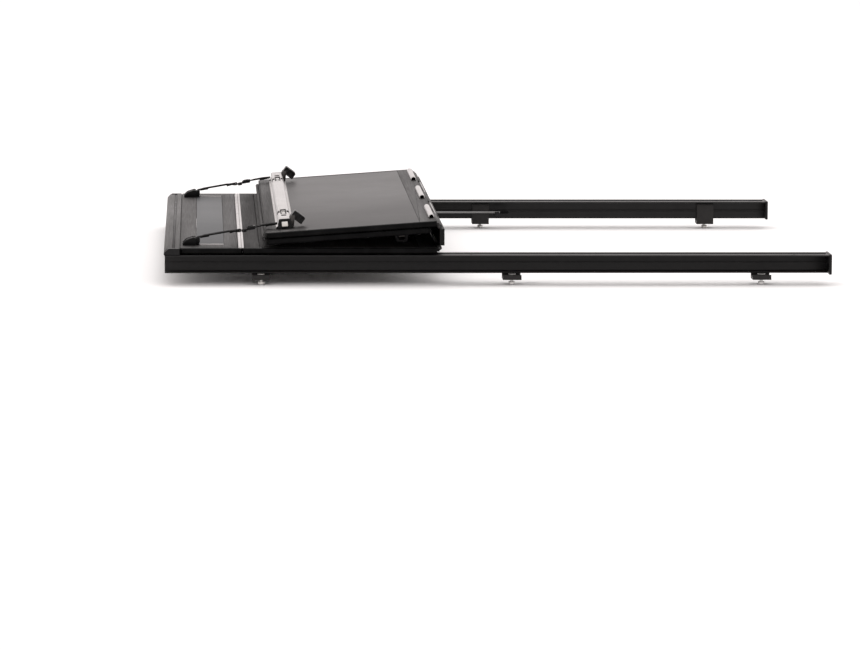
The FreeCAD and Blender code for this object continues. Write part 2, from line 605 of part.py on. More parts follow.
finish(group(*holders), "prop_rod_brackets", "flat", (RX, 0, RZ))
finish(group(*clips), "prop_rod_clips", "flat", (RX, 0, RZ))

doc.recompute()
bad = []
for obj in doc.Objects:
    if "Invalid" in obj.State or "Error" in obj.State:
        bad.append("%s (%s): %s" % (obj.Name, obj.Label, obj.State))
labels = [o.Label for o in NODES]
assert len(set(labels)) == len(labels), "a sub-part name is used twice"
for obj in NODES:
    shape = obj.Shape
    if shape.isNull() or not shape.isValid() or shape.Volume <= 0:
        bad.append("%s: null, empty or invalid shape" % obj.Label)
if bad:
    raise SystemExit("\n".join(bad))
for obj in NODES:
    obj.Shape.exportStep("parts/%s.step" % obj.Label)
total = 0.0
low, high = V(1e9, 1e9, 1e9), V(-1e9, -1e9, -1e9)
for obj in NODES:
    bb = obj.Shape.BoundBox
    total += obj.Shape.Volume
    low = V(min(low.x, bb.XMin), min(low.y, bb.YMin), min(low.z, bb.ZMin))
    high = V(max(high.x, bb.XMax), max(high.y, bb.YMax), max(high.z, bb.ZMax))
    print("%-24s %9.1f cm3  x %8.1f..%8.1f  y %8.1f..%8.1f  z %7.1f..%7.1f" % (
        obj.Label, obj.Shape.Volume / 1000.0, bb.XMin, bb.XMax, bb.YMin, bb.YMax, bb.ZMin, bb.ZMax))
print("parts", len(NODES), "bounds", low, high)
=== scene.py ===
import json
import math

import bmesh
import bpy
from mathutils import Matrix, Vector


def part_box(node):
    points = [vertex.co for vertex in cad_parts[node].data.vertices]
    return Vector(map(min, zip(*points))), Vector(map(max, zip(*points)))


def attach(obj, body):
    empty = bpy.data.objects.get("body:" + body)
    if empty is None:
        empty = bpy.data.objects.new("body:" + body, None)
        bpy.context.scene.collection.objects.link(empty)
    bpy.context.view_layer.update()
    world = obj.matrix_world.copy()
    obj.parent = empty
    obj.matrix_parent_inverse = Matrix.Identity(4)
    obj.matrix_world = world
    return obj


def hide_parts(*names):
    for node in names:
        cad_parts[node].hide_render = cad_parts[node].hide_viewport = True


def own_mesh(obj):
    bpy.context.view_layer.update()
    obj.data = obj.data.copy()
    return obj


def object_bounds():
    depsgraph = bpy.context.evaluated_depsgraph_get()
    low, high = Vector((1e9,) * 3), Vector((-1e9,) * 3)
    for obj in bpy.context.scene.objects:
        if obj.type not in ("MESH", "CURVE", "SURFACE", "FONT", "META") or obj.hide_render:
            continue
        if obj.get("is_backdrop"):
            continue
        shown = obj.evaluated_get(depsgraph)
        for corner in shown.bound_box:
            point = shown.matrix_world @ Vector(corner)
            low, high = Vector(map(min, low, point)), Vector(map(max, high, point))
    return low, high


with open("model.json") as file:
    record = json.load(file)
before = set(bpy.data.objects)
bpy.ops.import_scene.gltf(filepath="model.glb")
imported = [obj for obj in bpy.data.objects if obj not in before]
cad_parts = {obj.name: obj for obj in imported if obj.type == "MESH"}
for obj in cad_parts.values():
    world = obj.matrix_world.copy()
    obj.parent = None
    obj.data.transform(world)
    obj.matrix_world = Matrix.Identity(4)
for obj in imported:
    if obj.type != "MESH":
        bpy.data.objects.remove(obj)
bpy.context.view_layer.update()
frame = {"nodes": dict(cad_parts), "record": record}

scene = bpy.context.scene
NODES = frame["nodes"]
RECORD = frame["record"]
SLOT = {s["node"]: s["material_slot"] for s in RECORD["subparts"]}
BODY = {n: b for b, ns in RECORD["behaviour"]["bodies"].items() for n in ns}

# ------------------------------------------------------------------ frames of reference, millimetres in, metres out
TILT = math.radians(4.1)
CT, SN = math.cos(TILT), math.sin(TILT)


def F(x, y, z):
    """The flat cover: x back from the bulkhead, y across, z up from the panels' tops."""
    return Vector(((x - 826.0) / 1000.0, y / 1000.0, (z + 92.0) / 1000.0))


def S(x, y, z):
    """The folded rear pair: x along the panels (they lie at negative x), z square to them."""
    return Vector(((-146.0 + x * CT - z * SN) / 1000.0, y / 1000.0, (145.0 + x * SN + z * CT) / 1000.0))


# ------------------------------------------------------------------ materials
class Mat:
    def __init__(self, name):
        self.m = bpy.data.materials.new(name)
        self.m.use_nodes = True
        self.t = self.m.node_tree
        self.b = [n for n in self.t.nodes if n.type == "BSDF_PRINCIPLED"][0]
        self.co = self.t.nodes.new("ShaderNodeTexCoord").outputs["Object"]
        self.normal = None

    def n(self, kind, **kw):
        node = self.t.nodes.new("ShaderNode" + kind)
        for k, v in kw.items():
            if hasattr(node, k):
                setattr(node, k, v)
            else:
                self.to(v, node.inputs[k.replace("_", " ")])
        return node

    def to(self, value, socket):
        if hasattr(value, "is_output"):
            self.t.links.new(value, socket)
        elif hasattr(value, "outputs"):
            self.t.links.new(value.outputs[0], socket)
        else:
            socket.default_value = value

    def scaled(self, sx, sy, sz, rot=(0, 0, 0)):
        mp = self.n("Mapping")
        self.to(self.co, mp.inputs["Vector"])
        mp.inputs["Scale"].default_value = (sx, sy, sz)
        mp.inputs["Rotation"].default_value = rot
        return mp.outputs[0]

    def noise(self, scale, detail=3.0, rough=0.55, vec=None, dist=0.0):
        nz = self.n("TexNoise")
        self.to(vec or self.co, nz.inputs["Vector"])
        nz.inputs["Scale"].default_value = scale
        nz.inputs["Detail"].default_value = detail
        nz.inputs["Roughness"].default_value = rough
        nz.inputs["Distortion"].default_value = dist
        return nz.outputs["Fac"] if "Fac" in nz.outputs else nz.outputs[0]

    def math(self, op, a, b=0.0, c=0.0, clamp=False):
        nd = self.n("Math")
        nd.operation = op
        nd.use_clamp = clamp
        for i, v in enumerate((a, b, c)):
            self.to(v, nd.inputs[i])
        return nd.outputs[0]

    def ramp(self, v, lo, hi, a=0.0, b=1.0):
        r = self.n("MapRange")
        self.to(v, r.inputs["Value"])
        for k, x in (("From Min", lo), ("From Max", hi), ("To Min", a), ("To Max", b)):
            r.inputs[k].default_value = x
        return r.outputs[0]

    def mix(self, f, a, b):
        mx = self.n("Mix")
        mx.data_type = "RGBA"
        self.to(f, mx.inputs[0])
        self.to(a if hasattr(a, "is_output") else tuple(a) + ((1.0,) if len(a) == 3 else ()), mx.inputs[6])
        self.to(b if hasattr(b, "is_output") else tuple(b) + ((1.0,) if len(b) == 3 else ()), mx.inputs[7])
        return mx.outputs[2]

    def bump(self, height, strength, distance):
        bp = self.n("Bump")
        bp.inputs["Strength"].default_value = strength
        bp.inputs["Distance"].default_value = distance
        self.to(height, bp.inputs["Height"])
        if self.normal is not None:
            self.to(self.normal, bp.inputs["Normal"])
        self.normal = bp.outputs[0]

    def edges(self, radius, lo, hi):
        """1 along the outer edges of the metal, 0 on its faces."""
        bv = self.n("Bevel")
        bv.samples = 4
        bv.inputs["Radius"].default_value = radius
        geo = self.n("NewGeometry")
        dot = self.n("VectorMath")
        dot.operation = "DOT_PRODUCT"
        self.to(bv.outputs[0], dot.inputs[0])
        self.to(geo.outputs["Normal"], dot.inputs[1])
        return self.ramp(self.math("SUBTRACT", 1.0, dot.outputs["Value"]), lo, hi)

    def done(self, colour=None, rough=None, metallic=None, **kw):
        if colour is not None:
            self.to(colour if hasattr(colour, "is_output") else tuple(colour) + (1.0,), self.b.inputs["Base Color"])
        if rough is not None:
            self.to(rough, self.b.inputs["Roughness"])
        if metallic is not None:
            self.to(metallic, self.b.inputs["Metallic"])
        for k, v in kw.items():
            self.to(v, self.b.inputs[k])
        if self.normal is not None:
            self.to(self.normal, self.b.inputs["Normal"])
        return self.m


def coated(name, base, tint, rough, spread, grain, spec=0.5, lines=None, wear=0.6, orange=0.25):
    """A coated metal sheet or extrusion: fine texture, soft cloudiness, drawn lines, thin polished edges."""
    k = Mat(name)
    cloud = k.noise(3.2, 5.0, 0.6, dist=0.4)
    mottle = k.noise(55.0, 4.0, 0.6)
    fine = k.noise(1500.0, 2.0, 0.5)
    colour = k.mix(k.ramp(cloud, 0.3, 0.7), base, tint)
    colour = k.mix(k.ramp(mottle, 0.35, 0.7, 0.0, 0.35), colour, tuple(c * 1.45 for c in tint))
    rub = k.math("MULTIPLY", k.edges(0.0011, 0.03, 0.28), k.ramp(k.noise(120.0, 3.0, 0.6), 0.38, 0.62))
    colour = k.mix(k.math("MULTIPLY", rub, wear), colour, (0.22, 0.215, 0.21))
    r = k.math("ADD", k.ramp(cloud, 0.25, 0.75, rough - spread, rough + spread), k.ramp(fine, 0.3, 0.7, -0.03, 0.03))
    if lines:
        drawn = k.noise(1.0, 2.0, 0.6, vec=k.scaled(*lines))
        r = k.math("ADD", r, k.ramp(drawn, 0.25, 0.75, -0.07, 0.07))
        k.bump(drawn, 0.18, 0.0003)
    if orange:
        k.bump(k.noise(420.0, 2.0, 0.5), orange, 0.00012)
    k.bump(fine, grain, 0.00008)
    return k.done(colour, r, 0.0, **{"Specular IOR Level": spec})


def metal(name, base, tint, rough, spread, lines=(900.0, 9.0, 900.0), scratch=0.5):
    """Bare drawn or plated metal: streaks along its length, handling marks, slight staining."""
    k = Mat(name)
    streak = k.noise(1.0, 3.0, 0.65, vec=k.scaled(*lines))
    stain = k.noise(9.0, 4.0, 0.6, dist=0.6)
    nick = k.noise(1.0, 2.0, 0.8, vec=k.scaled(2600.0, 90.0, 700.0, (0.0, 0.0, 0.7)))
    colour = k.mix(k.ramp(stain, 0.3, 0.75), base, tint)
    colour = k.mix(k.ramp(streak, 0.62, 0.8, 0.0, 0.4), colour, tuple(c * 0.72 for c in tint))
    r = k.math("ADD", k.ramp(stain, 0.25, 0.75, rough - spread, rough + spread), k.ramp(streak, 0.2, 0.8, -0.1, 0.1))
    r = k.math("ADD", r, k.ramp(nick, 0.66, 0.74, 0.0, -0.12 * scratch))
    k.bump(streak, 0.25, 0.00015)
    k.bump(nick, 0.08 * scratch, 0.0002)
    return k.done(colour, r, 1.0)


def elastomer(name, base, rough, spec, grain=0.35):
    k = Mat(name)
    bloom = k.noise(22.0, 5.0, 0.65, dist=0.5)
    fine = k.noise(1900.0, 2.0, 0.5)
    colour = k.mix(k.ramp(bloom, 0.42, 0.8), base, tuple(c * 2.6 + 0.002 for c in base))
    r = k.math("ADD", k.ramp(bloom, 0.25, 0.75, rough - 0.06, rough + 0.08), k.ramp(fine, 0.3, 0.7, -0.03, 0.03))
    k.bump(k.noise(1.0, 2.0, 0.6, vec=k.scaled(12.0, 700.0, 700.0)), 0.12, 0.0002)
    k.bump(fine, grain, 0.00006)
    return k.done(colour, r, 0.0, **{"Specular IOR Level": spec})


def moulded(name, base, rough, spec=0.45):
    k = Mat(name)
    cell = k.n("TexVoronoi")
    k.to(k.co, cell.inputs["Vector"])
    cell.inputs["Scale"].default_value = 1350.0
    flow = k.noise(40.0, 4.0, 0.6, dist=1.2)
    rub = k.math("MULTIPLY", k.edges(0.0009, 0.03, 0.3), k.ramp(k.noise(160.0, 3.0, 0.6), 0.35, 0.6))
    colour = k.mix(k.ramp(flow, 0.3, 0.8), base, tuple(c * 1.8 for c in base))
    colour = k.mix(k.math("MULTIPLY", rub, 0.5), colour, (0.075, 0.075, 0.078))
    r = k.math("ADD", k.ramp(flow, 0.25, 0.75, rough - 0.05, rough + 0.06), k.ramp(cell.outputs["Distance"], 0.0, 0.5, -0.04, 0.04))
    k.bump(cell.outputs["Distance"], 0.3, 0.00012)
    return k.done(colour, r, 0.0, **{"Specular IOR Level": spec})


def woven(name, base, tint, rot):
    """Flat woven webbing: a twill of warp ribs along x crossed by weft picks, fuzzy and slightly faded in patches."""
    k = Mat(name)
    v = k.scaled(1.0, 1.0, 1.0, rot)
    warp = k.n("TexWave")
    warp.wave_type, warp.bands_direction, warp.wave_profile = "BANDS", "Y", "SIN"
    weft = k.n("TexWave")
    weft.wave_type, weft.bands_direction, weft.wave_profile = "BANDS", "X", "SIN"
    twill = k.n("TexWave")
    twill.wave_type, twill.bands_direction, twill.wave_profile = "BANDS", "DIAGONAL", "SIN"
    for nd, sc in ((warp, 250.0), (weft, 330.0), (twill, 150.0)):
        k.to(v, nd.inputs["Vector"])
        nd.inputs["Scale"].default_value = sc
        nd.inputs["Distortion"].default_value = 0.6
        nd.inputs["Detail"].default_value = 1.0
    over = k.math("MULTIPLY", warp.outputs["Fac"], k.ramp(weft.outputs["Fac"], 0.0, 1.0, 0.45, 1.0))
    h = k.math("ADD", k.math("MULTIPLY", over, 0.7), k.math("MULTIPLY", twill.outputs["Fac"], 0.3))
    fade = k.noise(30.0, 4.0, 0.6)
    colour = k.mix(h, tuple(c * 0.4 for c in base), base)
    colour = k.mix(k.ramp(fade, 0.4, 0.8, 0.0, 0.6), colour, tint)
    k.bump(h, 0.8, 0.0005)
    k.bump(k.noise(2600.0, 3.0, 0.7), 0.4, 0.0001)
    return k.done(colour, k.ramp(h, 0.0, 1.0, 0.85, 0.6), 0.0,
                  **{"Specular IOR Level": 0.08, "Sheen Weight": 0.05, "Sheen Roughness": 0.4})


def foamed(name):
    k = Mat(name)
    cell = k.n("TexVoronoi")
    k.to(k.co, cell.inputs["Vector"])
    cell.inputs["Scale"].default_value = 420.0
    col = k.mix(k.ramp(cell.outputs["Distance"], 0.1, 0.7), (0.05, 0.05, 0.052), (0.11, 0.11, 0.112))
    k.bump(cell.outputs["Distance"], 0.6, 0.0006)
    k.bump(k.noise(900.0), 0.3, 0.0002)
    return k.done(col, 0.85, 0.0, **{"Specular IOR Level": 0.25})


LOOK = {
    "rail_alu": coated("rail_black_anodised", (0.0075, 0.0075, 0.0078), (0.011, 0.0107, 0.0107), 0.36, 0.05, 0.16, 0.16, (10.0, 800.0, 800.0), 0.7, 0.0),
    "black_alu": coated("frame_powder_coat", (0.012, 0.0112, 0.011), (0.016, 0.015, 0.0147), 0.50, 0.04, 0.3, 0.22, (600.0, 7.0, 600.0), 0.5, 0.3),
    "skin": coated("skin_textured_coat", (0.026, 0.0245, 0.0243), (0.033, 0.031, 0.031), 0.45, 0.035, 0.45, 0.42, None, 0.35, 0.5),
    "plate": coated("plate_smooth_coat", (0.028, 0.031, 0.035), (0.036, 0.040, 0.044), 0.45, 0.03, 0.2, 0.34, None, 0.35, 0.2),
    "bright_alu": metal("bright_drawn_aluminium", (0.58, 0.565, 0.56), (0.50, 0.487, 0.482), 0.36, 0.05),
    "steel": metal("zinc_plated_steel", (0.56, 0.565, 0.58), (0.50, 0.48, 0.44), 0.30, 0.07, (300.0, 300.0, 300.0), 0.8),
    "rubber": elastomer("seal_rubber", (0.0019, 0.0019, 0.002), 0.33, 0.045),
    "plastic": moulded("moulded_nylon", (0.0048, 0.0048, 0.0051), 0.34, 0.17),
    "webbing": woven("strap_webbing", (0.0055, 0.0053, 0.0053), (0.010, 0.0095, 0.0092), (0.0, 0.175, 0.0)),
    "core": foamed("core_foam"),
}
# a darker copy of the frame coat, painted shade, for panel 2 and the faces in and under the folded stack, which lie in
# its shadow
shade_darkened_coat = coated("shade_darkened_frame_coat", (0.009, 0.0083, 0.008), (0.0125, 0.0117, 0.0113), 0.58, 0.04, 0.35, 0.16, (600.0, 7.0, 600.0), 0.5, 0.35)
header_coat = coated("header_powder_coat", (0.016, 0.015, 0.0147), (0.021, 0.0197, 0.0192), 0.45, 0.04, 0.3, 0.32, (600.0, 7.0, 600.0), 0.5, 0.3)
# bright metal used as a painted highlight along the link's upper outer edge
link_edge_highlight = metal("satin_link_aluminium", (0.46, 0.452, 0.448), (0.36, 0.353, 0.35), 0.38, 0.05)
anchor_nylon = moulded("anchor_nylon", (0.0036, 0.0036, 0.0038), 0.34, 0.10)
# near-black moulding used as painted shade inside the latch bars' openings
recess_shade_black = moulded("recess_shade_black", (0.0022, 0.0022, 0.0024), 0.6, 0.03)
link_coat = coated("link_black_anodised", (0.0045, 0.0044, 0.0044), (0.0065, 0.0063, 0.0062), 0.42, 0.05, 0.2, 0.10, (600.0, 7.0, 600.0), 0.6, 0.3)
thread = elastomer("stitch_thread", (0.05, 0.049, 0.047), 0.6, 0.3, 0.8)
spring_wire = metal("black_spring_steel", (0.045, 0.045, 0.05), (0.07, 0.065, 0.06), 0.34, 0.05, (400.0, 400.0, 400.0), 0.7)


# ------------------------------------------------------------------ mesh helpers
def ring(bm, pts):
    return [bm.verts.new(p) for p in pts]


def skin_rings(bm, rings, closed=True):
    for a, b in zip(rings, rings[1:]):
        n = len(a)
        for i in range(n if closed else n - 1):
            j = (i + 1) % n
            bm.faces.new((a[i], a[j], b[j], b[i]))


def caps(bm, rings):
    bm.faces.new(rings[0][::-1])
    bm.faces.new(rings[-1])


def loft(bm, loops):
    rs = [ring(bm, p) for p in loops]
    skin_rings(bm, rs)
    caps(bm, rs)


def along_y(bm, prof, y0, y1, T, cuts=1):
    """A profile in x and z, run from y0 to y1."""
    ys = [y0 + (y1 - y0) * i / cuts for i in range(cuts + 1)]
    loft(bm, [[T(x, y, z) for x, z in prof] for y in ys])


def along_x(bm, prof, x0, x1, T, cuts=1):
    """A profile in y and z, run from x0 to x1."""
    xs = [x0 + (x1 - x0) * i / cuts for i in range(cuts + 1)]
    loft(bm, [[T(x, y, z) for y, z in prof] for x in xs])


def up_z(bm, prof, z0, z1, T):
    loft(bm, [[T(x, y, z) for x, y in prof] for z in (z0, z1)])


def block(bm, x0, x1, y0, y1, z0, z1, T):
    up_z(bm, [(x0, y0), (x1, y0), (x1, y1), (x0, y1)], z0, z1, T)


def rounded(pts, r, n=4):
    """Rounds each corner of a convex or concave loop. r is one radius or one for each corner."""
    out = []
    m = len(pts)
    for i, p in enumerate(pts):
        rr = r[i] if isinstance(r, (list, tuple)) else r
        p = Vector((p[0], p[1]))
        a, b = Vector(pts[i - 1]), Vector(pts[(i + 1) % m])
        u, v = (a - p), (b - p)
        lu, lv = u.length, v.length
        if rr <= 0 or lu < 1e-6 or lv < 1e-6:
            out.append((p.x, p.y))
            continue
        u, v = u / lu, v / lv
        half = math.acos(max(-1.0, min(1.0, u.dot(v)))) / 2.0
        if half > math.radians(88):
            out.append((p.x, p.y))
            continue
        t = min(rr / math.tan(half), 0.48 * lu, 0.48 * lv)
        rad = t * math.tan(half)
        c = p + (u + v).normalized() * (rad / math.sin(half))
        s, e = p + u * t - c, p + v * t - c
        a0, a1 = math.atan2(s.y, s.x), math.atan2(e.y, e.x)
        d = (a1 - a0 + math.pi) % (2 * math.pi) - math.pi
        for k in range(n + 1):
            w = a0 + d * k / n
            out.append((c.x + rad * math.cos(w), c.y + rad * math.sin(w)))
    return out


def circle(cx, cz, r, n=32, a0=0.0):
    return [(cx + r * math.cos(a0 + 2 * math.pi * i / n), cz + r * math.sin(a0 + 2 * math.pi * i / n)) for i in range(n)]


def turned(bm, prof, T, seg=28, hexed=()):
    """A turned piece: prof is (height, radius) from one end to the other, T maps (u, v, height) to a point. hexed: indices with six sides."""
    loops = []
    for k, (h, r) in enumerate(prof):
        loop = []
        for i in range(seg):
            a = 2 * math.pi * i / seg
            rr = r
            if k in hexed:
                b = (a + math.pi / 6) % (math.pi / 3) - math.pi / 6
                rr = r / math.cos(b)
            loop.append(T(rr * math.cos(a), rr * math.sin(a), h))
        loops.append(loop)
    loft(bm, loops)


def tube(bm, pts, r, seg=12, ends=True):
    """A round bar through points given in metres."""
    loops, up = [], Vector((0, 0, 1))
    for i, p in enumerate(pts):
        a = pts[max(0, i - 1)]
        b = pts[min(len(pts) - 1, i + 1)]
        d = (b - a).normalized()
        side = d.cross(up)
        side = side.normalized() if side.length > 1e-4 else Vector((0, 1, 0))
        top = side.cross(d).normalized()
        rr = r[i] if isinstance(r, (list, tuple)) else r
        loops.append([p + (side * math.cos(2 * math.pi * k / seg) + top * math.sin(2 * math.pi * k / seg)) * rr for k in range(seg)])
    loft(bm, loops)


def tidy(bm):
    bmesh.ops.remove_doubles(bm, verts=bm.verts, dist=2e-6)
    bmesh.ops.recalc_face_normals(bm, faces=bm.faces)


def shaded(me, degrees):
    for p in me.polygons:
        p.use_smooth = True
    me.set_sharp_from_angle(angle=math.radians(degrees))


def apply_modifiers(ob):
    dg = bpy.context.evaluated_depsgraph_get()
    me = bpy.data.meshes.new_from_object(ob.evaluated_get(dg))
    ob.modifiers.clear()
    old = ob.data
    ob.data = me
    bpy.data.meshes.remove(old)


def bevelled(ob, width, seg=2, angle=32.0):
    if width > 0:
        md = ob.modifiers.new("edges", "BEVEL")
        md.width = width / 1000.0
        md.segments = seg
        md.limit_method = "ANGLE"
        md.angle_limit = math.radians(angle)
        md.use_clamp_overlap = True
        md.miter_outer = "MITER_ARC"
        apply_modifiers(ob)


def object_from(bm, name):
    tidy(bm)
    me = bpy.data.meshes.new(name)
    bm.to_mesh(me)
    bm.free()
    ob = bpy.data.objects.new(name, me)
    scene.collection.objects.link(ob)
    return ob


def piece(bm, name, slot, body, bevel=0.4, seg=2, replaces=(), material=None, smooth=35.0, cutters=None, angle=32.0):
    ob = object_from(bm, name)
    if cutters is not None:
        tool = object_from(cutters, name + "_tool")
        md = ob.modifiers.new("cut", "BOOLEAN")
        md.operation, md.solver, md.object = "DIFFERENCE", "EXACT", tool
        apply_modifiers(ob)
        bpy.data.objects.remove(tool)
    bevelled(ob, bevel, seg, angle)
    ob.data.materials.clear()
    ob.data.materials.append(material or LOOK[slot])
    shaded(ob.data, smooth)
    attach(ob, body)
    if replaces:
        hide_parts(*replaces)
    return ob


def soften(node, bevel=0.5, seg=2, name=None, material=None, angle=32.0):
    """The CAD piece with its edges broken as a real one's are."""
    src = NODES[node].data
    bm = bmesh.new()
    bm.from_mesh(src)
    bmesh.ops.remove_doubles(bm, verts=bm.verts, dist=1e-5)
    bmesh.ops.dissolve_limit(bm, angle_limit=math.radians(1.0), verts=bm.verts, edges=bm.edges, delimit=set())
    for layer in list(bm.loops.layers.uv):
        bm.loops.layers.uv.remove(layer)
    return piece(bm, name or node + "_finished", SLOT[node], BODY[node], bevel, seg, (node,), material, angle=angle)


# ------------------------------------------------------------------ pieces that only need their edges and finish
# the rear bolts take the black spring steel as painted shade, where they sit in shadow inside the folded stack
OWN = {"panel_2_frame": shade_darkened_coat, "panel_2_top_skin": shade_darkened_coat, "panel_3_top_skin": shade_darkened_coat, "panel_4_top_skin": shade_darkened_coat,
       "header_rail": header_coat, "hinge_2_pin": spring_wire, "hinge_3_pin": spring_wire, "hinge_4_pin": spring_wire,
       "lever_brackets": spring_wire, "link_plate": link_coat, "hinge_2_front_leaf": link_coat, "rear_bolt_left": spring_wire, "rear_bolt_right": spring_wire,
       "prop_rod_brackets": spring_wire, "prop_rod_clips": LOOK["plastic"]}
for node, bev in (("panel_1_frame", 0.9), ("panel_2_frame", 0.9), ("panel_3_frame", 0.9), ("panel_4_frame", 0.9),
                  ("panel_1_plate", 0.45), ("panel_2_top_skin", 0.35), ("panel_2_bottom_skin", 0.35),
                  ("panel_3_top_skin", 0.35), ("panel_3_bottom_skin", 0.35), ("panel_4_top_skin", 0.35),
                  ("panel_4_bottom_skin", 0.35), ("panel_1_core", 0.6), ("panel_2_core", 0.4), ("panel_3_core", 0.4),
                  ("panel_4_core", 0.4), ("header_rail", 0.8), ("header_seal", 0.8), ("header_corner_caps", 1.6),
                  ("rail_end_caps", 2.2), ("rail_clamps", 1.4), ("link_plate", 0.5), ("lever_brackets", 0.6),
                  ("hinge_2_front_leaf", 0.5), ("hinge_3_rear_leaf", 0.5), ("hinge_1_pin", 0.5), ("hinge_2_pin", 0.5), ("hinge_3_pin", 0.5), ("hinge_4_pin", 0.5),
                  ("bar_feet", 1.6), ("release_cables", 0.3), ("prop_rod_brackets", 0.8), ("prop_rod_clips", 0.7),
                  ("mid_bolt_left", 0.9), ("mid_bolt_right", 0.9), ("rear_bolt_left", 0.9), ("rear_bolt_right", 0.9)):
    soften(node, bev, 3 if bev > 0.8 else 2, material=OWN.get(node))

# painted highlight: the link's faces above its pivot that face up and outward take a bright metal finish, a light line
# along its upper outer edge
link = bpy.data.objects["link_plate_finished"]
link.data.materials.append(link_edge_highlight)
pivot = F(680.0, 0.0, 53.0).z
for p in link.data.polygons:
    if p.center.z > pivot and p.normal.x > 0.15 and p.normal.z > 0.25:
        p.material_index = 1

# beads that hold the first panel's plate down along its two ends
lo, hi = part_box("panel_1_plate")
px0, px1, py, pz = lo.x * 1000 + 826, hi.x * 1000 + 826, hi.y * 1000, hi.z * 1000 - 92
bm = bmesh.new()
for sg in (-1.0, 1.0):
    along_x(bm, [(sg * y, z) for y, z in ((py - 5.0, pz + 0.02), (py - 5.0, pz + 0.8), (py - 4.2, pz + 1.9), (py - 2.4, pz + 2.4), (py - 0.6, pz + 2.0),
                                          (py + 0.2, pz + 0.8), (py + 0.2, pz + 0.02))], px0 + 1.0, px1 - 1.0, F, 6)
piece(bm, "panel_1_plate_beads", "bright_alu", "rail_frame", 0.12, 2)

# ------------------------------------------------------------------ side rails: a drawn section with ribs and a rolled lip
HOLES = (758.0, 1558.0)
for side, sg in (("left", -1.0), ("right", 1.0)):
    prof = [(657.0, -20.0), (657.0, -18.2), (658.2, -17.0), (688.2, -17.0), (688.6, -17.5), (689.6, -17.5), (690.0, -17.0),
            (705.0, -17.0), (705.4, -17.5), (706.4, -17.5), (706.8, -17.0), (711.0, -17.0), (711.3, -17.4), (711.9, -17.4),
            (712.2, -17.0), (731.5, -17.0), (733.6, -17.2), (735.0, -18.3), (735.0, -19.4), (734.2, -20.0),
            (712.0, -20.0), (711.0, -20.9), (709.0, -20.9), (708.0, -20.0), (687.0, -20.0), (684.0, -23.0), (684.0, -38.0),
            (684.8, -38.6), (684.8, -40.4), (684.0, -41.0), (684.0, -59.0), (686.0, -61.0),
            (699.2, -61.0), (700.0, -61.8), (700.0, -64.2), (699.2, -65.0), (681.2, -65.0), (680.0, -63.8),
            (680.0, -46.0), (677.6, -44.8), (677.0, -43.6), (677.0, -42.0), (680.0, -40.6),
            (680.0, -22.6), (678.8, -20.6), (676.0, -20.0), (662.0, -20.0), (661.0, -20.8), (659.0, -20.8), (658.0, -20.0)]
    bm = bmesh.new()
    along_x(bm, [(y * sg, z) for y, z in prof], 2.0, 1645.0, F, 6)
    tool = bmesh.new()
    for hx in HOLES:
        up_z(tool, circle(hx, 722.0 * sg, 3.3, 28), -30.0, -10.0, F)
    piece(bm, "side_rail_%s_section" % side, "rail_alu", "rail_frame", 0.22, 2, ("side_rail_" + side,), cutters=tool)

# the rails' seals: twin lipped strips, soft and slightly domed
bm = bmesh.new()
for sg in (-1.0, 1.0):
    prof = [(690.2, -17.0), (690.0, -16.4), (690.6, -15.7), (692.2, -15.5), (694.4, -15.9), (696.2, -16.3), (698.8, -16.3),
            (700.6, -15.9), (702.8, -15.5), (704.4, -15.7), (705.0, -16.4), (704.8, -17.0)]
    along_x(bm, [(y * sg, z) for y, z in prof], 45.0, 1640.0, F, 8)
piece(bm, "rail_seal_strips", "rubber", "rail_frame", 0.12, 2, ("rail_seals",), smooth=60)


# ------------------------------------------------------------------ bulb seals down the panels' sides
def bulb(bm, x0, x1, z0, z1, sg, T, w0=722.0, w1=730.0, nose=7.0):
    """A rubber bulb on a panel's side, its ends turned in round the corner."""
    h, m = (z1 - z0) / 2.0, (z0 + z1) / 2.0
    base = [(0.0, -1.0), (0.22, -1.0), (0.55, -0.93), (0.82, -0.74), (0.96, -0.42), (1.0, 0.0), (0.97, 0.36), (0.86, 0.68),
            (0.66, 0.88), (0.42, 0.97), (0.22, 1.0), (0.0, 1.0)]
    stations = []
    for k in range(9):
        a = math.pi / 2 * (1 - k / 8)
        stations.append((x0 + nose * (1 - math.sin(a)), max(0.02, math.cos(a))))
    mids = 10
    for k in range(1, mids):
        stations.append((x0 + nose + (x1 - x0 - 2 * nose) * k / mids, 1.0))
    for k in range(9):
        a = math.pi / 2 * k / 8
        stations.append((x1 - nose * (1 - math.sin(a)), max(0.02, math.cos(a))))
    loops = []
    for x, s in stations:
        ss = 0.86 + 0.14 * s
        loops.append([T(x, (w0 + (w1 - w0) * s * u) * sg, m + h * v * ss) for u, v in base])
    rs = [ring(bm, p) for p in loops]
    skin_rings(bm, rs)
    caps(bm, rs)


for tag, body, T, x0, x1, z0, z1 in (("1", "rail_frame", F, 41.0, 193.2, -15.0, -0.1), ("2", "panel_2", F, 194.0, 674.0, -15.0, 0.0),
                                     ("3", "rear_pair", S, -428.0, -6.0, 0.5, 15.0), ("4", "rear_pair", S, -428.0, -26.0, -15.0, -0.5)):
    bm = bmesh.new()
    for sg in (-1.0, 1.0):
        bulb(bm, x0, x1, z0, z1, sg, T)
    piece(bm, "panel_%s_bulb_seals" % tag, "rubber", body, 0.0, 1, ("panel_%s_side_seals" % tag,), smooth=50)

# the tail seal: a flap with a bead
bm = bmesh.new()
prof = [(-26.0, -14.4), (-24.4, -14.9), (-22.4, -14.2), (-21.2, -12.4), (-21.0, -10.0), (-21.6, -8.2), (-23.2, -7.4), (-23.8, -6.6),
        (-23.8, -2.4), (-24.6, -1.2), (-26.0, -1.0)]
along_y(bm, prof, -721.0, 721.0, S, 12)
piece(bm, "tail_flap_seal", "rubber", "rear_pair", 0.2, 2, ("tail_seal",), smooth=50)


# ------------------------------------------------------------------ first hinge: bright knuckles in a drawn strip
SEG = (-722.0, -433.0, -144.5, 144.5, 433.0, 722.0)


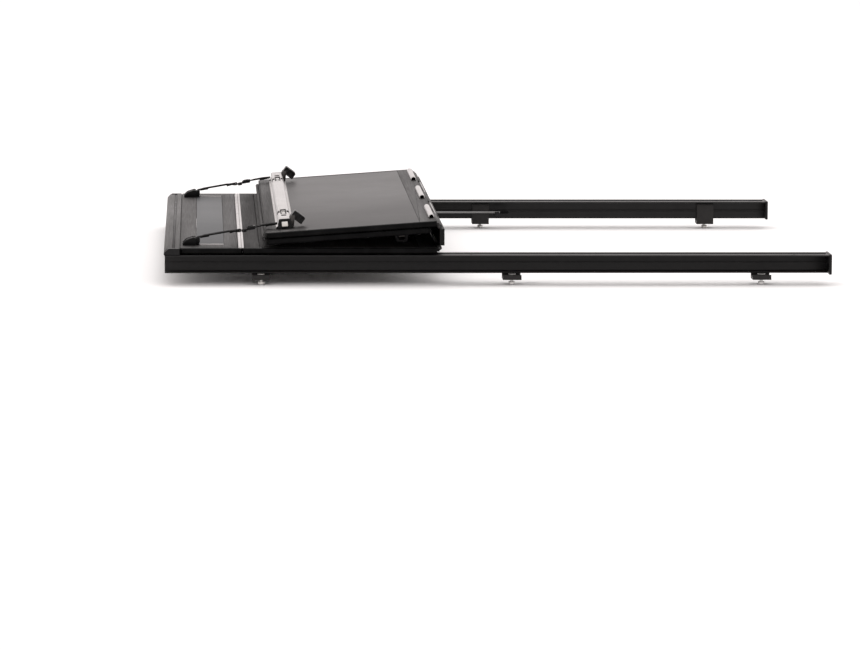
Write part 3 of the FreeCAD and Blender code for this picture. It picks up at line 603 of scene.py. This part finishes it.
def knuckles(which, side, name, node, body):
    bm = bmesh.new()
    for k in which:
        lo, hi = SEG[k] + 0.6, SEG[k + 1] - 0.6
        arc = []
        # round the pin, then out to the panel as a flat web with a small root radius
        for i in range(25):
            a = math.radians(-8 + (360 - 38) * i / 24)
            arc.append((5.5 * math.cos(a) * side, -5.5 + 5.5 * math.sin(a)))
        web = [(6.0 * side, -9.5), (6.0 * side, -6.4)]
        prof = arc + web
        loft(bm, [[F(188.0 + x, y, z) for x, z in prof] for y in [lo + (hi - lo) * j / 6 for j in range(7)]])
    cut = bmesh.new()
    along_y(cut, circle(188.0, -5.5, 2.7, 28), -730.0, 730.0, F)
    piece(bm, name, "bright_alu", body, 0.35, 2, (node,), cutters=cut)


knuckles((0, 2, 4), -1, "hinge_1_front_knuckles", "hinge_1_front_leaf", "rail_frame")
knuckles((1, 3), 1, "hinge_1_rear_knuckles", "hinge_1_rear_leaf", "panel_2")

# the rear leaf's flat lip, lapped over the edge of the second panel
bm = bmesh.new()
along_y(bm, [(192.1, -0.75), (194.05, -0.75), (194.05, 0.03), (197.0, 0.03), (197.15, 0.16), (197.0, 0.32), (194.4, 0.34), (192.6, 0.1), (192.1, -0.25)],
        -721.0, 721.0, F, 8)
piece(bm, "hinge_1_rear_lip", "bright_alu", "panel_2", 0.0, 1)

# ------------------------------------------------------------------ third hinge: hollow arched knuckles standing on panel 3
bm = bmesh.new()
for y0, y1 in ((-648.0, -388.0), (-130.0, 130.0), (388.0, 648.0)):
    outer = [(-23.0, 15.0), (-23.0, 18.0)] + [(-16.0 + 7.0 * math.cos(math.radians(a)), 18.0 + 7.0 * math.sin(math.radians(a))) for a in range(168, 11, -12)] + [(-9.0, 18.0), (-9.0, 15.0)]
    inner = [(-10.9, 15.0), (-10.9, 18.0)] + [(-16.0 + 5.1 * math.cos(math.radians(a)), 18.0 + 5.1 * math.sin(math.radians(a))) for a in range(12, 169, 12)] + [(-21.1, 18.0), (-21.1, 15.0)]
    along_y(bm, outer + inner, y0, y1, S, 8)
piece(bm, "hinge_3_arches", "bright_alu", "rear_pair", 0.3, 2, ("hinge_3_blocks",))


# ------------------------------------------------------------------ latch bars: hat sections with milled openings
def bar(cx, base, up, name, node):
    """up: +1 stands on panel 3's underside, -1 hangs below panel 4's."""
    half = [(22.0, 0.0), (22.0, 3.0), (21.4, 3.6), (20.6, 3.4), (20.2, 2.5), (18.6, 2.5), (17.4, 3.4), (17.1, 4.6), (16.3, 12.0),
            (13.3, 22.4), (12.7, 23.5), (11.6, 24.0), (8.0, 24.0), (7.7, 23.6), (7.1, 23.6), (6.8, 24.0)]
    inner = [(11.0, 0.0), (11.0, 20.6), (9.8, 22.0)]
    prof = [(x, z) for x, z in half] + [(-x, z) for x, z in reversed(half)] + [(-x, z) for x, z in inner] + [(x, z) for x, z in reversed(inner)]
    prof = [(cx + x, base + up * z) for x, z in prof]
    bm = bmesh.new()
    along_y(bm, prof, -645.0, 645.0, S, 10)
    tool = bmesh.new()
    top = base + up * 24.0
    for sg in (-1.0, 1.0):
        # the spring window, the cross slot, and a notch in each upper edge
        up_z(tool, rounded([(cx - 7.4, 394 * sg), (cx + 7.4, 394 * sg), (cx + 7.4, 522 * sg), (cx - 7.4, 522 * sg)], 2.2),
             min(top - up * 6, top + up * 3), max(top - up * 6, top + up * 3), S)
        up_z(tool, rounded([(cx - 6.4, 551 * sg - 17), (cx + 6.4, 551 * sg - 17), (cx + 6.4, 551 * sg + 17), (cx - 6.4, 551 * sg + 17)], 3.0),
             min(top - up * 6, top + up * 3), max(top - up * 6, top + up * 3), S)
        for dx in (-1, 1):
            xa, xb = sorted((cx + dx * 8.5, cx + dx * 24.0))
            block(tool, xa, xb, 456 * sg - 26, 456 * sg + 26, min(top - up * 7.0, top + up * 3), max(top - up * 7.0, top + up * 3), S)
    ob = piece(bm, name, "bright_alu", "rear_pair", 0.28, 2, (node,), cutters=tool)
    return ob


bar(-380.0, 15.0, 1.0, "latch_bar_mid_section", "latch_bar_mid")
bar(-93.0, -15.0, -1.0, "latch_bar_rear_section", "latch_bar_rear")


# what shows in the bars' openings: a pressed cover with two square sights, and near-black inserts in the windows, slots
# and edge notches, painted shade where the openings lie in shadow
for tag, cx, up in (("mid", -380.0, 1.0), ("rear", -93.0, -1.0)):
    top = (15.0 + 24.0) * up
    base = 15.0 * up
    plate_bm, hole_bm, dark_bm = bmesh.new(), bmesh.new(), bmesh.new()
    for sg in (-1.0, 1.0):
        za, zb = sorted((top - up * 3.0, top - up * 1.4))
        up_z(plate_bm, rounded([(cx - 4.7, 420 * sg), (cx + 4.7, 420 * sg), (cx + 4.7, 496 * sg), (cx - 4.7, 496 * sg)], 1.6), za, zb, S)
        zc2, zd2 = sorted((top - up * 6.2, top - up * 3.1))
        up_z(dark_bm, rounded([(cx - 7.2, 394.3 * sg), (cx + 7.2, 394.3 * sg), (cx + 7.2, 521.7 * sg), (cx - 7.2, 521.7 * sg)], 2.0), zc2, zd2, S)
        for dx in (-2.3, 2.3):
            up_z(hole_bm, rounded([(cx + dx - 1.2, 430 * sg), (cx + dx + 1.2, 430 * sg), (cx + dx + 1.2, 462 * sg), (cx + dx - 1.2, 462 * sg)], 0.7), za - 2.0, zb + 2.0, S)
        za2, zb2 = sorted((top - up * 5.0, top - up * 0.9))
        up_z(dark_bm, rounded([(cx - 6.2, 551 * sg - 16.8), (cx + 6.2, 551 * sg - 16.8), (cx + 6.2, 551 * sg + 16.8), (cx - 6.2, 551 * sg + 16.8)], 2.9), za2, zb2, S)
        for dx in (-1.0, 1.0):
            prof = [(cx + dx * 8.7, top - up * 6.8), (cx + dx * 15.2, top - up * 6.8), (cx + dx * 14.0, top - up * 2.4), (cx + dx * 12.4, top - up * 1.2), (cx + dx * 8.7, top - up * 1.2)]
            along_y(dark_bm, rounded(prof, 0.5, 3), 456 * sg - 25.8, 456 * sg + 25.8, S)
    piece(plate_bm, "latch_bar_%s_sight_plates" % tag, "steel", "rear_pair", 0.25, 2, (), cutters=hole_bm)
    piece(dark_bm, "latch_bar_%s_slides" % tag, "plastic", "rear_pair", 0.3, 2, (), recess_shade_black)
    # moulded end caps over the whole section
    cap_bm, cut_bm = bmesh.new(), bmesh.new()
    for sg in (-1.0, 1.0):
        rim = rounded([(cx - 21.8, base + up * 0.15), (cx + 21.8, base + up * 0.15), (cx + 21.6, base + up * 4.6), (cx + 17.6, base + up * 7.0), (cx + 13.8, base + up * 24.3),
                       (cx - 13.8, base + up * 24.3), (cx - 17.6, base + up * 7.0), (cx - 21.6, base + up * 4.6)], [0.6, 0.6, 1.4, 2.0, 3.2, 3.2, 2.0, 1.4], 5)
        loops = []
        for y, s in ((645.15 * sg, 1.0), (648.0 * sg, 1.0), (649.2 * sg, 0.95)):
            mx, mz = cx, base + up * 11.4
            loops.append([S(mx + (x - mx) * s, y, mz + (z - mz) * s) for x, z in rim])
        loft(cap_bm, loops)
        slot_ = rounded([(cx - 7.7, base + up * 5.9), (cx + 7.7, base + up * 5.9), (cx + 7.7, base + up * 18.1), (cx - 7.7, base + up * 18.1)], 0.9, 3)
        y0, y1 = sorted((640.0 * sg, 660.0 * sg))
        along_y(cut_bm, slot_, y0, y1, S)
    piece(cap_bm, "latch_bar_%s_end_caps" % tag, "plastic", "rear_pair", 0.3, 2, (), cutters=cut_bm, smooth=40)


def rivets(name, slot, body, spots, T, r=3.2, h=1.4, up=1.0, material=None):
    """Dome-headed blind rivets with the broken stem's dimple. spots: (x, y, z)."""
    bm = bmesh.new()
    for x, y, z in spots:
        prof = [(-0.4, r), (0.15 * h, r), (0.55 * h, r * 0.86), (0.85 * h, r * 0.6), (h, r * 0.34), (h * 0.98, r * 0.28), (h * 0.62, r * 0.24), (h * 0.6, 0.02)]
        turned(bm, prof, lambda u, v, q: T(x + u, y + v, z + up * q), 20)
    return piece(bm, name, slot, body, 0.0, 1, (), material, smooth=40)


rivets("latch_bar_mid_rivets", "steel", "rear_pair", [(-380.0 + dx, y, 17.3) for dx in (-19.0, 19.0) for y in (-540.0, -330.0, -110.0, 110.0, 330.0, 540.0)], S, 1.7, 1.0)
rivets("latch_bar_rear_rivets", "steel", "rear_pair", [(-93.0 + dx, y, -17.3) for dx in (-19.0, 19.0) for y in (-540.0, -330.0, -110.0, 110.0, 330.0, 540.0)], S, 1.7, 1.0, up=-1.0)

# ------------------------------------------------------------------ housings: moulded boxes in the bar ends, with a rim round the bolt's slot
for tag, cx, up in (("mid", -380.0, 1.0), ("rear", -93.0, -1.0)):
    bm = bmesh.new()
    tool = bmesh.new()
    base = 15.0 * up
    for sg in (-1.0, 1.0):
        za, zb = base + up * 0.2, base + up * 21.8
        prof = rounded([(cx - 10.8, za), (cx + 10.8, za), (cx + 10.8, zb), (cx - 10.8, zb)], 1.6, 4)
        y0, y1 = sorted((560.0 * sg, 645.0 * sg))
        along_y(bm, prof, y0, y1, S)
        slot_ = rounded([(cx - 7.7, base + up * 5.9), (cx + 7.7, base + up * 5.9), (cx + 7.7, base + up * 18.1), (cx - 7.7, base + up * 18.1)], 0.9, 3)
        y0, y1 = sorted((540.0 * sg, 660.0 * sg))
        along_y(tool, slot_, y0, y1, S)
    piece(bm, "latch_housings_%s" % tag, "plastic", "rear_pair", 0.3, 2, ("latch_housings",) if tag == "mid" else (), cutters=tool, smooth=40)

# ------------------------------------------------------------------ fourth hinge: two drawn leaves that wrap a full-length pin
bm = bmesh.new()
upper = [(-427.9, 0.8), (-427.9, 13.4), (-429.0, 14.5), (-430.4, 13.9)]
upper += [(-434.0 + 5.0 * math.cos(math.radians(a)), 5.0 * math.sin(math.radians(a))) for a in range(52, 188, 9)]
upper += [(-434.0 + 3.6 * math.cos(math.radians(a)), 3.6 * math.sin(math.radians(a))) for a in range(187, 20, -12)]
lower = [(-427.9, -0.8), (-427.9, -13.6), (-429.4, -14.4), (-430.6, -13.4)]
lower += [(-434.0 + 5.0 * math.cos(math.radians(a)), -5.0 * math.sin(math.radians(a))) for a in range(52, 166, 9)]
lower += [(-434.0 + 3.6 * math.cos(math.radians(a)), -3.6 * math.sin(math.radians(a))) for a in range(164, 20, -12)]
for prof in (upper, lower):
    along_y(bm, prof, -719.0, 719.0, S, 12)
piece(bm, "hinge_4_drawn_leaves", "black_alu", "rear_pair", 0.2, 2, ("hinge_4_leaves",), shade_darkened_coat)

# a near-black rubber strip that closes the joint between the header and the first panel, painted shade for the dark gap
bm = bmesh.new()
along_y(bm, rounded([(39.1, -15.0), (40.9, -15.0), (40.9, -2.4), (40.0, -1.6), (39.1, -2.4)], 0.3, 3), -720.0, 720.0, F, 8)
piece(bm, "header_joint_shade_strip", "rubber", "rail_frame", 0.0, 1)

# ------------------------------------------------------------------ webbing
def zl(x, up=0.0):
    return 17.0 + (x - 80.0) * 0.177 + up


def tape(bm, pts, y0, y1, t=2.2, n=10, full=None):
    """Flat webbing whose edges are rounded selvedges. pts: (x, z) of its lower face, along its run. full: where it lies slack and lofts."""
    loops = []
    thin = t
    for i, (x, z) in enumerate(pts):
        if full:
            s = min(1.0, max(0.0, (x - full[0]) / 12.0), max(0.0, (full[1] - x) / 12.0))
            t = thin + 1.1 * s * s * (3 - 2 * s)
        a, b = pts[max(0, i - 1)], pts[min(len(pts) - 1, i + 1)]
        d = Vector((b[0] - a[0], b[1] - a[1])).normalized()
        nx, nz = -d.y, d.x
        loop = []
        for k in range(n + 1):
            u = k / n
            e = min(1.0, min(u, 1 - u) * (y1 - y0) / 0.9)
            h = t * (0.5 + 0.5 * math.sqrt(max(0.0, 1 - (1 - e) ** 2)))
            rib = 0.07 * math.cos(u * (y1 - y0) / 2.5 * 2 * math.pi)
            loop.append(F(x + nx * (h + rib), y0 + (y1 - y0) * u, z + nz * (h + rib)))
        for k in range(n, -1, -1):
            u = k / n
            e = min(1.0, min(u, 1 - u) * (y1 - y0) / 0.9)
            h = t * (0.5 - 0.5 * math.sqrt(max(0.0, 1 - (1 - e) ** 2)))
            loop.append(F(x + nx * h, y0 + (y1 - y0) * u, z + nz * h))
        loops.append(loop)
    loft(bm, loops)


SIDES = [(-647.5, -622.5), (622.5, 647.5)]


def line(x0, x1, up=0.0, n=None):
    n = n or max(3, int((x1 - x0) / 3.0))
    return [(x0 + (x1 - x0) * i / n, zl(x0 + (x1 - x0) * i / n, up)) for i in range(n + 1)]


front = bmesh.new()
rear = bmesh.new()
sewn = bmesh.new()
sewn_rear = bmesh.new()
rings = bmesh.new()
for y0, y1 in SIDES:
    # front run: a bight round the hook, sewn back on itself
    bight = [(85.6 + 2.55 * math.cos(math.radians(a)), 15.4 + 2.55 * math.sin(math.radians(a))) for a in range(285, 99, -15)]
    # and at its other end a bight round the ring, its tail sewn under the run
    c = 188.2
    turn = [(c + 1.2 * math.sin(math.radians(a)), zl(c) - 1.2 + 1.2 * math.cos(math.radians(a))) for a in range(10, 181, 17)]
    tape(front, bight + line(90.0, c, 0.0) + turn + [(184.0, zl(184.0, -2.1)), (180.0, zl(180.0, -1.0)), (177.0, zl(177.0, -0.15)), (174.0, zl(174.0, -0.05)), (162.0, zl(162.0, -0.05))], y0, y1, n=20, full=(90.0, 172.0))
    tape(front, line(90.0, 112.0, -2.2), y0 + 0.4, y1 - 0.4, n=20)
    # the ring: a closed wire through both bights
    w = 0.9
    corners = [(c, -1.2, y0 - 1.8), (c, -1.2, y1 + 1.8), (197.0, -3.25, y1 + 1.8), (197.0, -3.25, y0 - 1.8)]
    for k in range(4):
        xa, ua, ya = corners[k]
        xb, ub, yb = corners[(k + 1) % 4]
        tube(rings, [F(xa + (xb - xa) * i / 4, ya + (yb - ya) * i / 4, zl(xa + (xb - xa) * i / 4, ua + (ub - ua) * i / 4)) for i in range(5)], w / 1000.0, 12)
        tube(rings, [F(xa, ya - 0.88, zl(xa, ua)), F(xa, ya - 0.5, zl(xa, ua)), F(xa, ya, zl(xa, ua)), F(xa, ya + 0.5, zl(xa, ua)), F(xa, ya + 0.88, zl(xa, ua))],
             [0.0002, 0.00075, 0.00091, 0.00075, 0.0002], 12)
    # rear: an open loop, then the tail that wraps the bar's flange
    r = 3.25
    loop = line(204.4, 196.0, 0.0, 6) + [(195.6 - r * math.sin(math.radians(a)), zl(195.6) - r + r * math.cos(math.radians(a))) for a in range(0, 181, 15)] + line(196.0, 204.4, -6.5, 6)
    tape(rear, [(x, z) for x, z in loop], y0, y1, n=20)
    end = 281.0
    tape(rear, line(226.4, end), y0, y1, n=20, full=(228.0, 276.0))
    tape(rear, line(252.0, end, -2.2), y0 + 0.4, y1 - 0.4, n=20)
    for bm_, xs, up in ((sewn, (96.0, 99.0, 104.0, 107.0, 164.0, 173.0), 2.26), (sewn_rear, (258.0, 262.0, 274.0, 278.0), 2.26)):
        for x in xs:
            lift = up + 1.1 * (1.0 if 100.0 < x < 165.0 or 240.0 < x < 265.0 else 0.4)
            m_ = 16
            for k in range(m_):
                ya = y0 + 2.5 + (y1 - y0 - 5.0) * k / m_
                yb = ya + (y1 - y0 - 5.0) / m_ * 0.72
                pts = [F(x, ya, zl(x, lift - 0.15)), F(x, ya * 0.8 + yb * 0.2, zl(x, lift + 0.12)), F(x, ya * 0.2 + yb * 0.8, zl(x, lift + 0.12)), F(x, yb, zl(x, lift - 0.15))]
                tube(bm_, pts, 0.00028, 6)
front_ob = piece(front, "strap_front_webbing", "webbing", "rail_frame", 0.0, 1, ("strap_front",), smooth=60)
rear_ob = piece(rear, "strap_rear_webbing", "webbing", "rear_pair", 0.0, 1, ("strap_rear",), smooth=60)
sewn_ob = piece(sewn, "strap_front_stitching", "webbing", "rail_frame", 0.0, 1, (), thread, smooth=60)
sewn_rear_ob = piece(sewn_rear, "strap_rear_stitching", "webbing", "rear_pair", 0.0, 1, (), thread, smooth=60)
rings_ob = piece(rings, "strap_rings", "steel", "rail_frame", 0.0, 1, (), spring_wire, smooth=60)
for ob in (front_ob, sewn_ob, rings_ob):
    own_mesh(ob)

# ladder-lock adjusters
bm = bmesh.new()
for y0, y1 in SIDES:
    a, b = y0 - 3.0, y1 + 3.0
    for ya, yb in ((a, a + 3.2), (b - 3.2, b)):
        along_y(bm, [(x, zl(x, z)) for x, z in rounded([(204.0, -3.2), (226.0, -3.2), (226.0, 2.2), (219.0, 4.6), (209.0, 4.6), (204.0, 2.0)], 1.4, 3)], ya, yb, F)
    for xa, xb, za, zb in ((204.2, 208.0, -3.0, 1.2), (212.6, 216.2, -2.4, 0.2), (221.6, 225.8, -2.8, 2.6)):
        along_y(bm, [(x, zl(x, z)) for x, z in rounded([(xa, za), (xb, za), (xb, zb), (xa, zb)], 1.3, 4)], a + 2.6, b - 2.6, F, 2)
    # thumb lip
    along_y(bm, [(x, zl(x, z)) for x, z in rounded([(221.0, 2.0), (226.0, 2.6), (226.0, 4.4), (219.6, 4.9)], 0.8, 3)], a + 5.0, b - 5.0, F, 2)
piece(bm, "strap_ladder_locks", "plastic", "rear_pair", 0.3, 2, ("strap_adjusters",), anchor_nylon)

# anchors: a screwed-down moulded block with ribs, and the hook the webbing goes round
bm = bmesh.new()
tool = bmesh.new()
screw_spots = []
for y0, y1 in SIDES:
    m_ = (y0 + y1) / 2.0
    a, b = m_ - 25.0, m_ + 25.0
    for ya, yb in ((a, a + 4.0), (b - 4.0, b), (m_ - 13.6, m_ - 10.6), (m_ + 10.6, m_ + 13.6)):
        along_y(bm, rounded([(46.0, 0.05), (78.0, 0.05), (80.0, 6.0), (78.0, 18.4), (72.0, 19.0), (54.0, 13.0), (46.0, 5.0)], [1, 1, 3, 2.5, 3, 4, 2], 4), ya, yb, F)
    along_y(bm, rounded([(46.4, 0.05), (77.6, 0.05), (77.6, 6.0), (46.4, 4.0)], 1.2, 3), a + 2.0, b - 2.0, F)
    along_y(bm, rounded([(70.0, 4.0), (78.0, 4.0), (77.4, 17.6), (71.6, 18.2)], 1.4, 3), a + 2.0, b - 2.0, F)
    along_y(bm, rounded([(50.0, 3.0), (54.0, 3.0), (71.0, 15.6), (71.0, 18.0), (54.5, 12.0)], 0.9, 3), m_ - 12.0, m_ + 12.0, F)
    # hook: two cheeks and a cross bar behind the block
    for ya, yb in ((m_ - 16.0, m_ - 13.6), (m_ + 13.6, m_ + 16.0)):
        along_y(bm, rounded([(74.0, 0.6), (86.0, 0.6), (89.0, 8.0), (88.6, 17.6), (84.0, 18.6), (76.0, 14.0)], 2.4, 4), ya, yb, F)
    along_y(bm, circle(85.6, 15.4, 2.3, 20), m_ - 14.0, m_ + 14.0, F, 2)
    for y in (a + 8.2, b - 8.2):
        screw_spots.append((60.0, y, 4.9))
piece(bm, "strap_anchor_blocks", "plastic", "rail_frame", 0.35, 2, ("strap_anchors",), anchor_nylon)


def screws(name, body, spots, T, r=3.4, h=2.2, up=1.0, slot="steel", material=None):
    """Button-head screws with a six-sided socket."""
    bm = bmesh.new()
    for x, y, z in spots:
        prof = [(-0.6, r), (0.3 * h, r), (0.62 * h, r * 0.93), (0.86 * h, r * 0.76), (h, r * 0.52), (h, r * 0.44), (h * 0.35, r * 0.42), (h * 0.3, 0.02)]
        turned(bm, prof, lambda u, v, q: T(x + u, y + v, z + up * q), 24, hexed=(5, 6))
    return piece(bm, name, slot, body, 0.0, 1, (), material, smooth=40)


screws("strap_anchor_screws", "rail_frame", screw_spots, F, 3.2, 2.0)

# ------------------------------------------------------------------ lever handles
C40, S40 = math.cos(math.radians(40)), math.sin(math.radians(40))


def lev(a, c):
    return (-346.0 + a * C40 + c * S40, 40.0 - a * S40 + c * C40)


for side, sg in (("left", -1.0), ("right", 1.0)):
    bm = bmesh.new()
    y0, y1 = sorted((598.0 * sg, 640.0 * sg))
    outer = rounded([(-16.0, -9.8), (16.8, -10.0), (17.0, 6.6), (13.4, 9.0), (-14.6, 9.0), (-16.0, 7.4)], [1.6, 1.8, 2.0, 2.4, 1.6, 1.6], 5)
    along_y(bm, [lev(a, c) for a, c in outer], y0, y1, S, 2)
    tool = bmesh.new()
    # core-outs in both cheeks, leaving diagonal webs
    pockets = [[(-3.6, -7.4), (3.6, -7.4), (-3.6, 3.2)], [(5.8, -6.0), (5.8, 6.2), (-2.2, 6.2)], [(8.2, -7.4), (14.4, -7.4), (14.6, 5.0), (12.0, 6.4), (8.2, 6.4)],
               [(-13.6, 0.6), (-6.0, 0.6), (-6.0, 6.2), (-13.6, 6.2)]]
    for y in (y0, y1):
        for pk in pockets:
            along_y(tool, [lev(a, c) for a, c in rounded(pk, 0.8, 3)], y - 2.2, y + 2.2, S)
    lever = piece(bm, "mid_lever_%s_handle" % side, "plastic", "mid_lever_%s" % side, 0.45, 2, ("mid_lever_" + side,), cutters=tool)
    # finger ribs on the face that is pulled, and on the back
    bm = bmesh.new()
    for a in (-11.6, -8.6, -5.6, -2.6, 0.4, 3.4, 6.4, 9.4):
        along_y(bm, [lev(a + 0.85 * math.cos(math.radians(t)), 9.0 + 0.75 * math.sin(math.radians(t))) for t in range(0, 360, 30)], y0 + 3.0, y1 - 3.0, S, 2)
    for a in (1.0, 4.0, 7.0, 10.0, 13.0):
        along_y(bm, [lev(a + 0.85 * math.cos(math.radians(t)), -9.7 + 0.75 * math.sin(math.radians(t))) for t in range(0, 360, 30)], y0 + 3.0, y1 - 3.0, S, 2)
    piece(bm, "mid_lever_%s_grip_ribs" % side, "plastic", "mid_lever_%s" % side, 0.0, 1, (), smooth=60)

# ------------------------------------------------------------------ clamp screws: socket cap head below, shank, washer
bm = bmesh.new()
for cx in (240.0, 860.0, 1480.0):
    for sg in (-1.0, 1.0):
        y = 703.0 * sg
        T = lambda u, v, q, cx=cx, y=y: F(cx + u, y + v, q)
        turned(bm, [(-92.0, 7.0), (-91.4, 8.0), (-85.6, 8.0), (-85.0, 7.6), (-85.0, 4.0), (-80.4, 4.0), (-80.0, 3.6)] , T, 32)
        # the drive socket, seen from below
        shank = [(-85.2, 4.0)]
        for i in range(26):
            h = -85.0 + i * (17.6 / 26)
            shank += [(h, 3.55), (h + 0.34, 4.0)]
        shank += [(-67.2, 3.4)]
        turned(bm, shank, T, 20)
        turned(bm, [(-67.5, 5.4), (-67.5, 9.2), (-67.2, 9.5), (-65.9, 9.5), (-65.6, 9.2), (-65.6, 5.4)], T, 28)
tool = bmesh.new()
for cx in (240.0, 860.0, 1480.0):
    for sg in (-1.0, 1.0):
        y = 703.0 * sg
        up_z(tool, [(cx + 3.9 * math.cos(math.radians(a)), y + 3.9 * math.sin(math.radians(a))) for a in range(0, 360, 60)], -93.0, -88.4, F)
piece(bm, "clamp_cap_screws", "steel", "rail_frame", 0.0, 1, ("clamp_screws",), smooth=40, cutters=tool)

rod_steel = metal("prop_rod_steel", (0.21, 0.21, 0.215), (0.15, 0.147, 0.14), 0.3, 0.06, (6.0, 700.0, 700.0), 0.8)
# ------------------------------------------------------------------ prop rods: a drawn rod, a flattened eye and a rubber tip sleeve
for side, sg in (("left", -1.0), ("right", 1.0)):
    Y = 650.0 * sg
    bm = bmesh.new()
    line_ = [(428.0, 1.6), (432.0, 2.2), (438.0, 2.6), (900.0, 2.6), (921.0, 2.6)]
    tube(bm, [F(x, Y, -45.0) for x, _ in line_], [r_ / 1000.0 for _, r_ in line_], 20)
    eye_ = bmesh.new()
    along_y(bm, circle(420.0, -45.0, 9.0, 36), Y - 2.4, Y + 2.4, F)
    tool = bmesh.new()
    along_y(tool, circle(420.0, -45.0, 4.0, 28), Y - 8.0, Y + 8.0, F)
    piece(bm, "prop_rod_%s_bar" % side, "steel", "prop_rod_" + side, 0.35, 2, ("prop_rod_" + side,), rod_steel, cutters=tool, smooth=40)
    bm = bmesh.new()
    prof = [(912.0, 2.9), (912.6, 4.2), (914.0, 4.6)]
    x = 916.0
    while x < 930.0:
        prof += [(x, 4.6), (x + 0.5, 4.1), (x + 1.1, 4.1), (x + 1.6, 4.6)]
        x += 2.6
    prof += [(931.5, 4.6), (933.8, 4.0), (935.2, 2.6), (935.8, 0.6)]
    turned(bm, prof, lambda u, v, q: F(q, Y + u, -45.0 + v), 24)
    piece(bm, "prop_rod_%s_tip_sleeve" % side, "rubber", "prop_rod_" + side, 0.0, 1, (), smooth=50)

# ------------------------------------------------------------------ stage
bm = bmesh.new()
R = 40.0
loops = []
for r in (0.02, 1.0, 3.0, 8.0, 20.0, R):
    loops.append([Vector((r * math.cos(2 * math.pi * i / 64), r * math.sin(2 * math.pi * i / 64), -0.0005)) for i in range(64)])
rs = [ring(bm, p) for p in loops]
skin_rings(bm, rs)
bm.faces.new(rs[0][::-1])
floor = object_from(bm, "floor")
k = Mat("floor_pale")
mottled = k.noise(0.6, 3.0, 0.5)
floor.data.materials.append(k.done(k.mix(k.ramp(mottled, 0.3, 0.7), (0.945, 0.95, 0.95), (0.955, 0.96, 0.96)), 0.9, 0.0, **{"Specular IOR Level": 0.1}))
for p in floor.data.polygons:
    p.use_smooth = True
floor.data.flip_normals()
floor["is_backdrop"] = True

world = bpy.data.worlds.new("studio")
scene.world = world
world.use_nodes = True
wt = world.node_tree
bg = [n for n in wt.nodes if n.type == "BACKGROUND"][0]
bg.inputs["Color"].default_value = (1.0, 0.95, 0.94, 1.0)
bg.inputs["Strength"].default_value = 1.13


def area(name, loc, target, size, size_y, power):
    li = bpy.data.lights.new(name, "AREA")
    li.shape = "RECTANGLE"
    li.size, li.size_y, li.energy = size, size_y, power
    ob = bpy.data.objects.new(name, li)
    scene.collection.objects.link(ob)
    ob.location = loc
    ob.rotation_euler = (Vector(target) - Vector(loc)).to_track_quat("-Z", "Y").to_euler()
    return ob


area("top_softbox", (-0.4, 0.6, 4.2), (0.0, 0.0, 0.0), 3.0, 3.0, 45.0)



# ------------------------------------------------------------------ camera
cam = bpy.data.cameras.new("camera")
cam.sensor_fit = "HORIZONTAL"
cam.sensor_width = 36.0
cam.lens = 206.643
cam.clip_start, cam.clip_end = 0.1, 200.0
eye = bpy.data.objects.new("camera", cam)
scene.collection.objects.link(eye)
right = Vector((0.9989226, -0.04618931, 0.00449384))
fwd = Vector((0.0463955, 0.9917798, -0.11924883))
up = Vector((0.00105112, 0.11932884, 0.99285423))
m = Matrix.Identity(4)
for i in range(3):
    m[i][0], m[i][1], m[i][2] = right[i], up[i], -fwd[i]
m.translation = Vector((-0.73525, -12.8254, 1.35569))
eye.matrix_world = m
scene.camera = eye
scene.view_settings.view_transform = "Standard"
scene.view_settings.look = "None"

lo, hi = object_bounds()
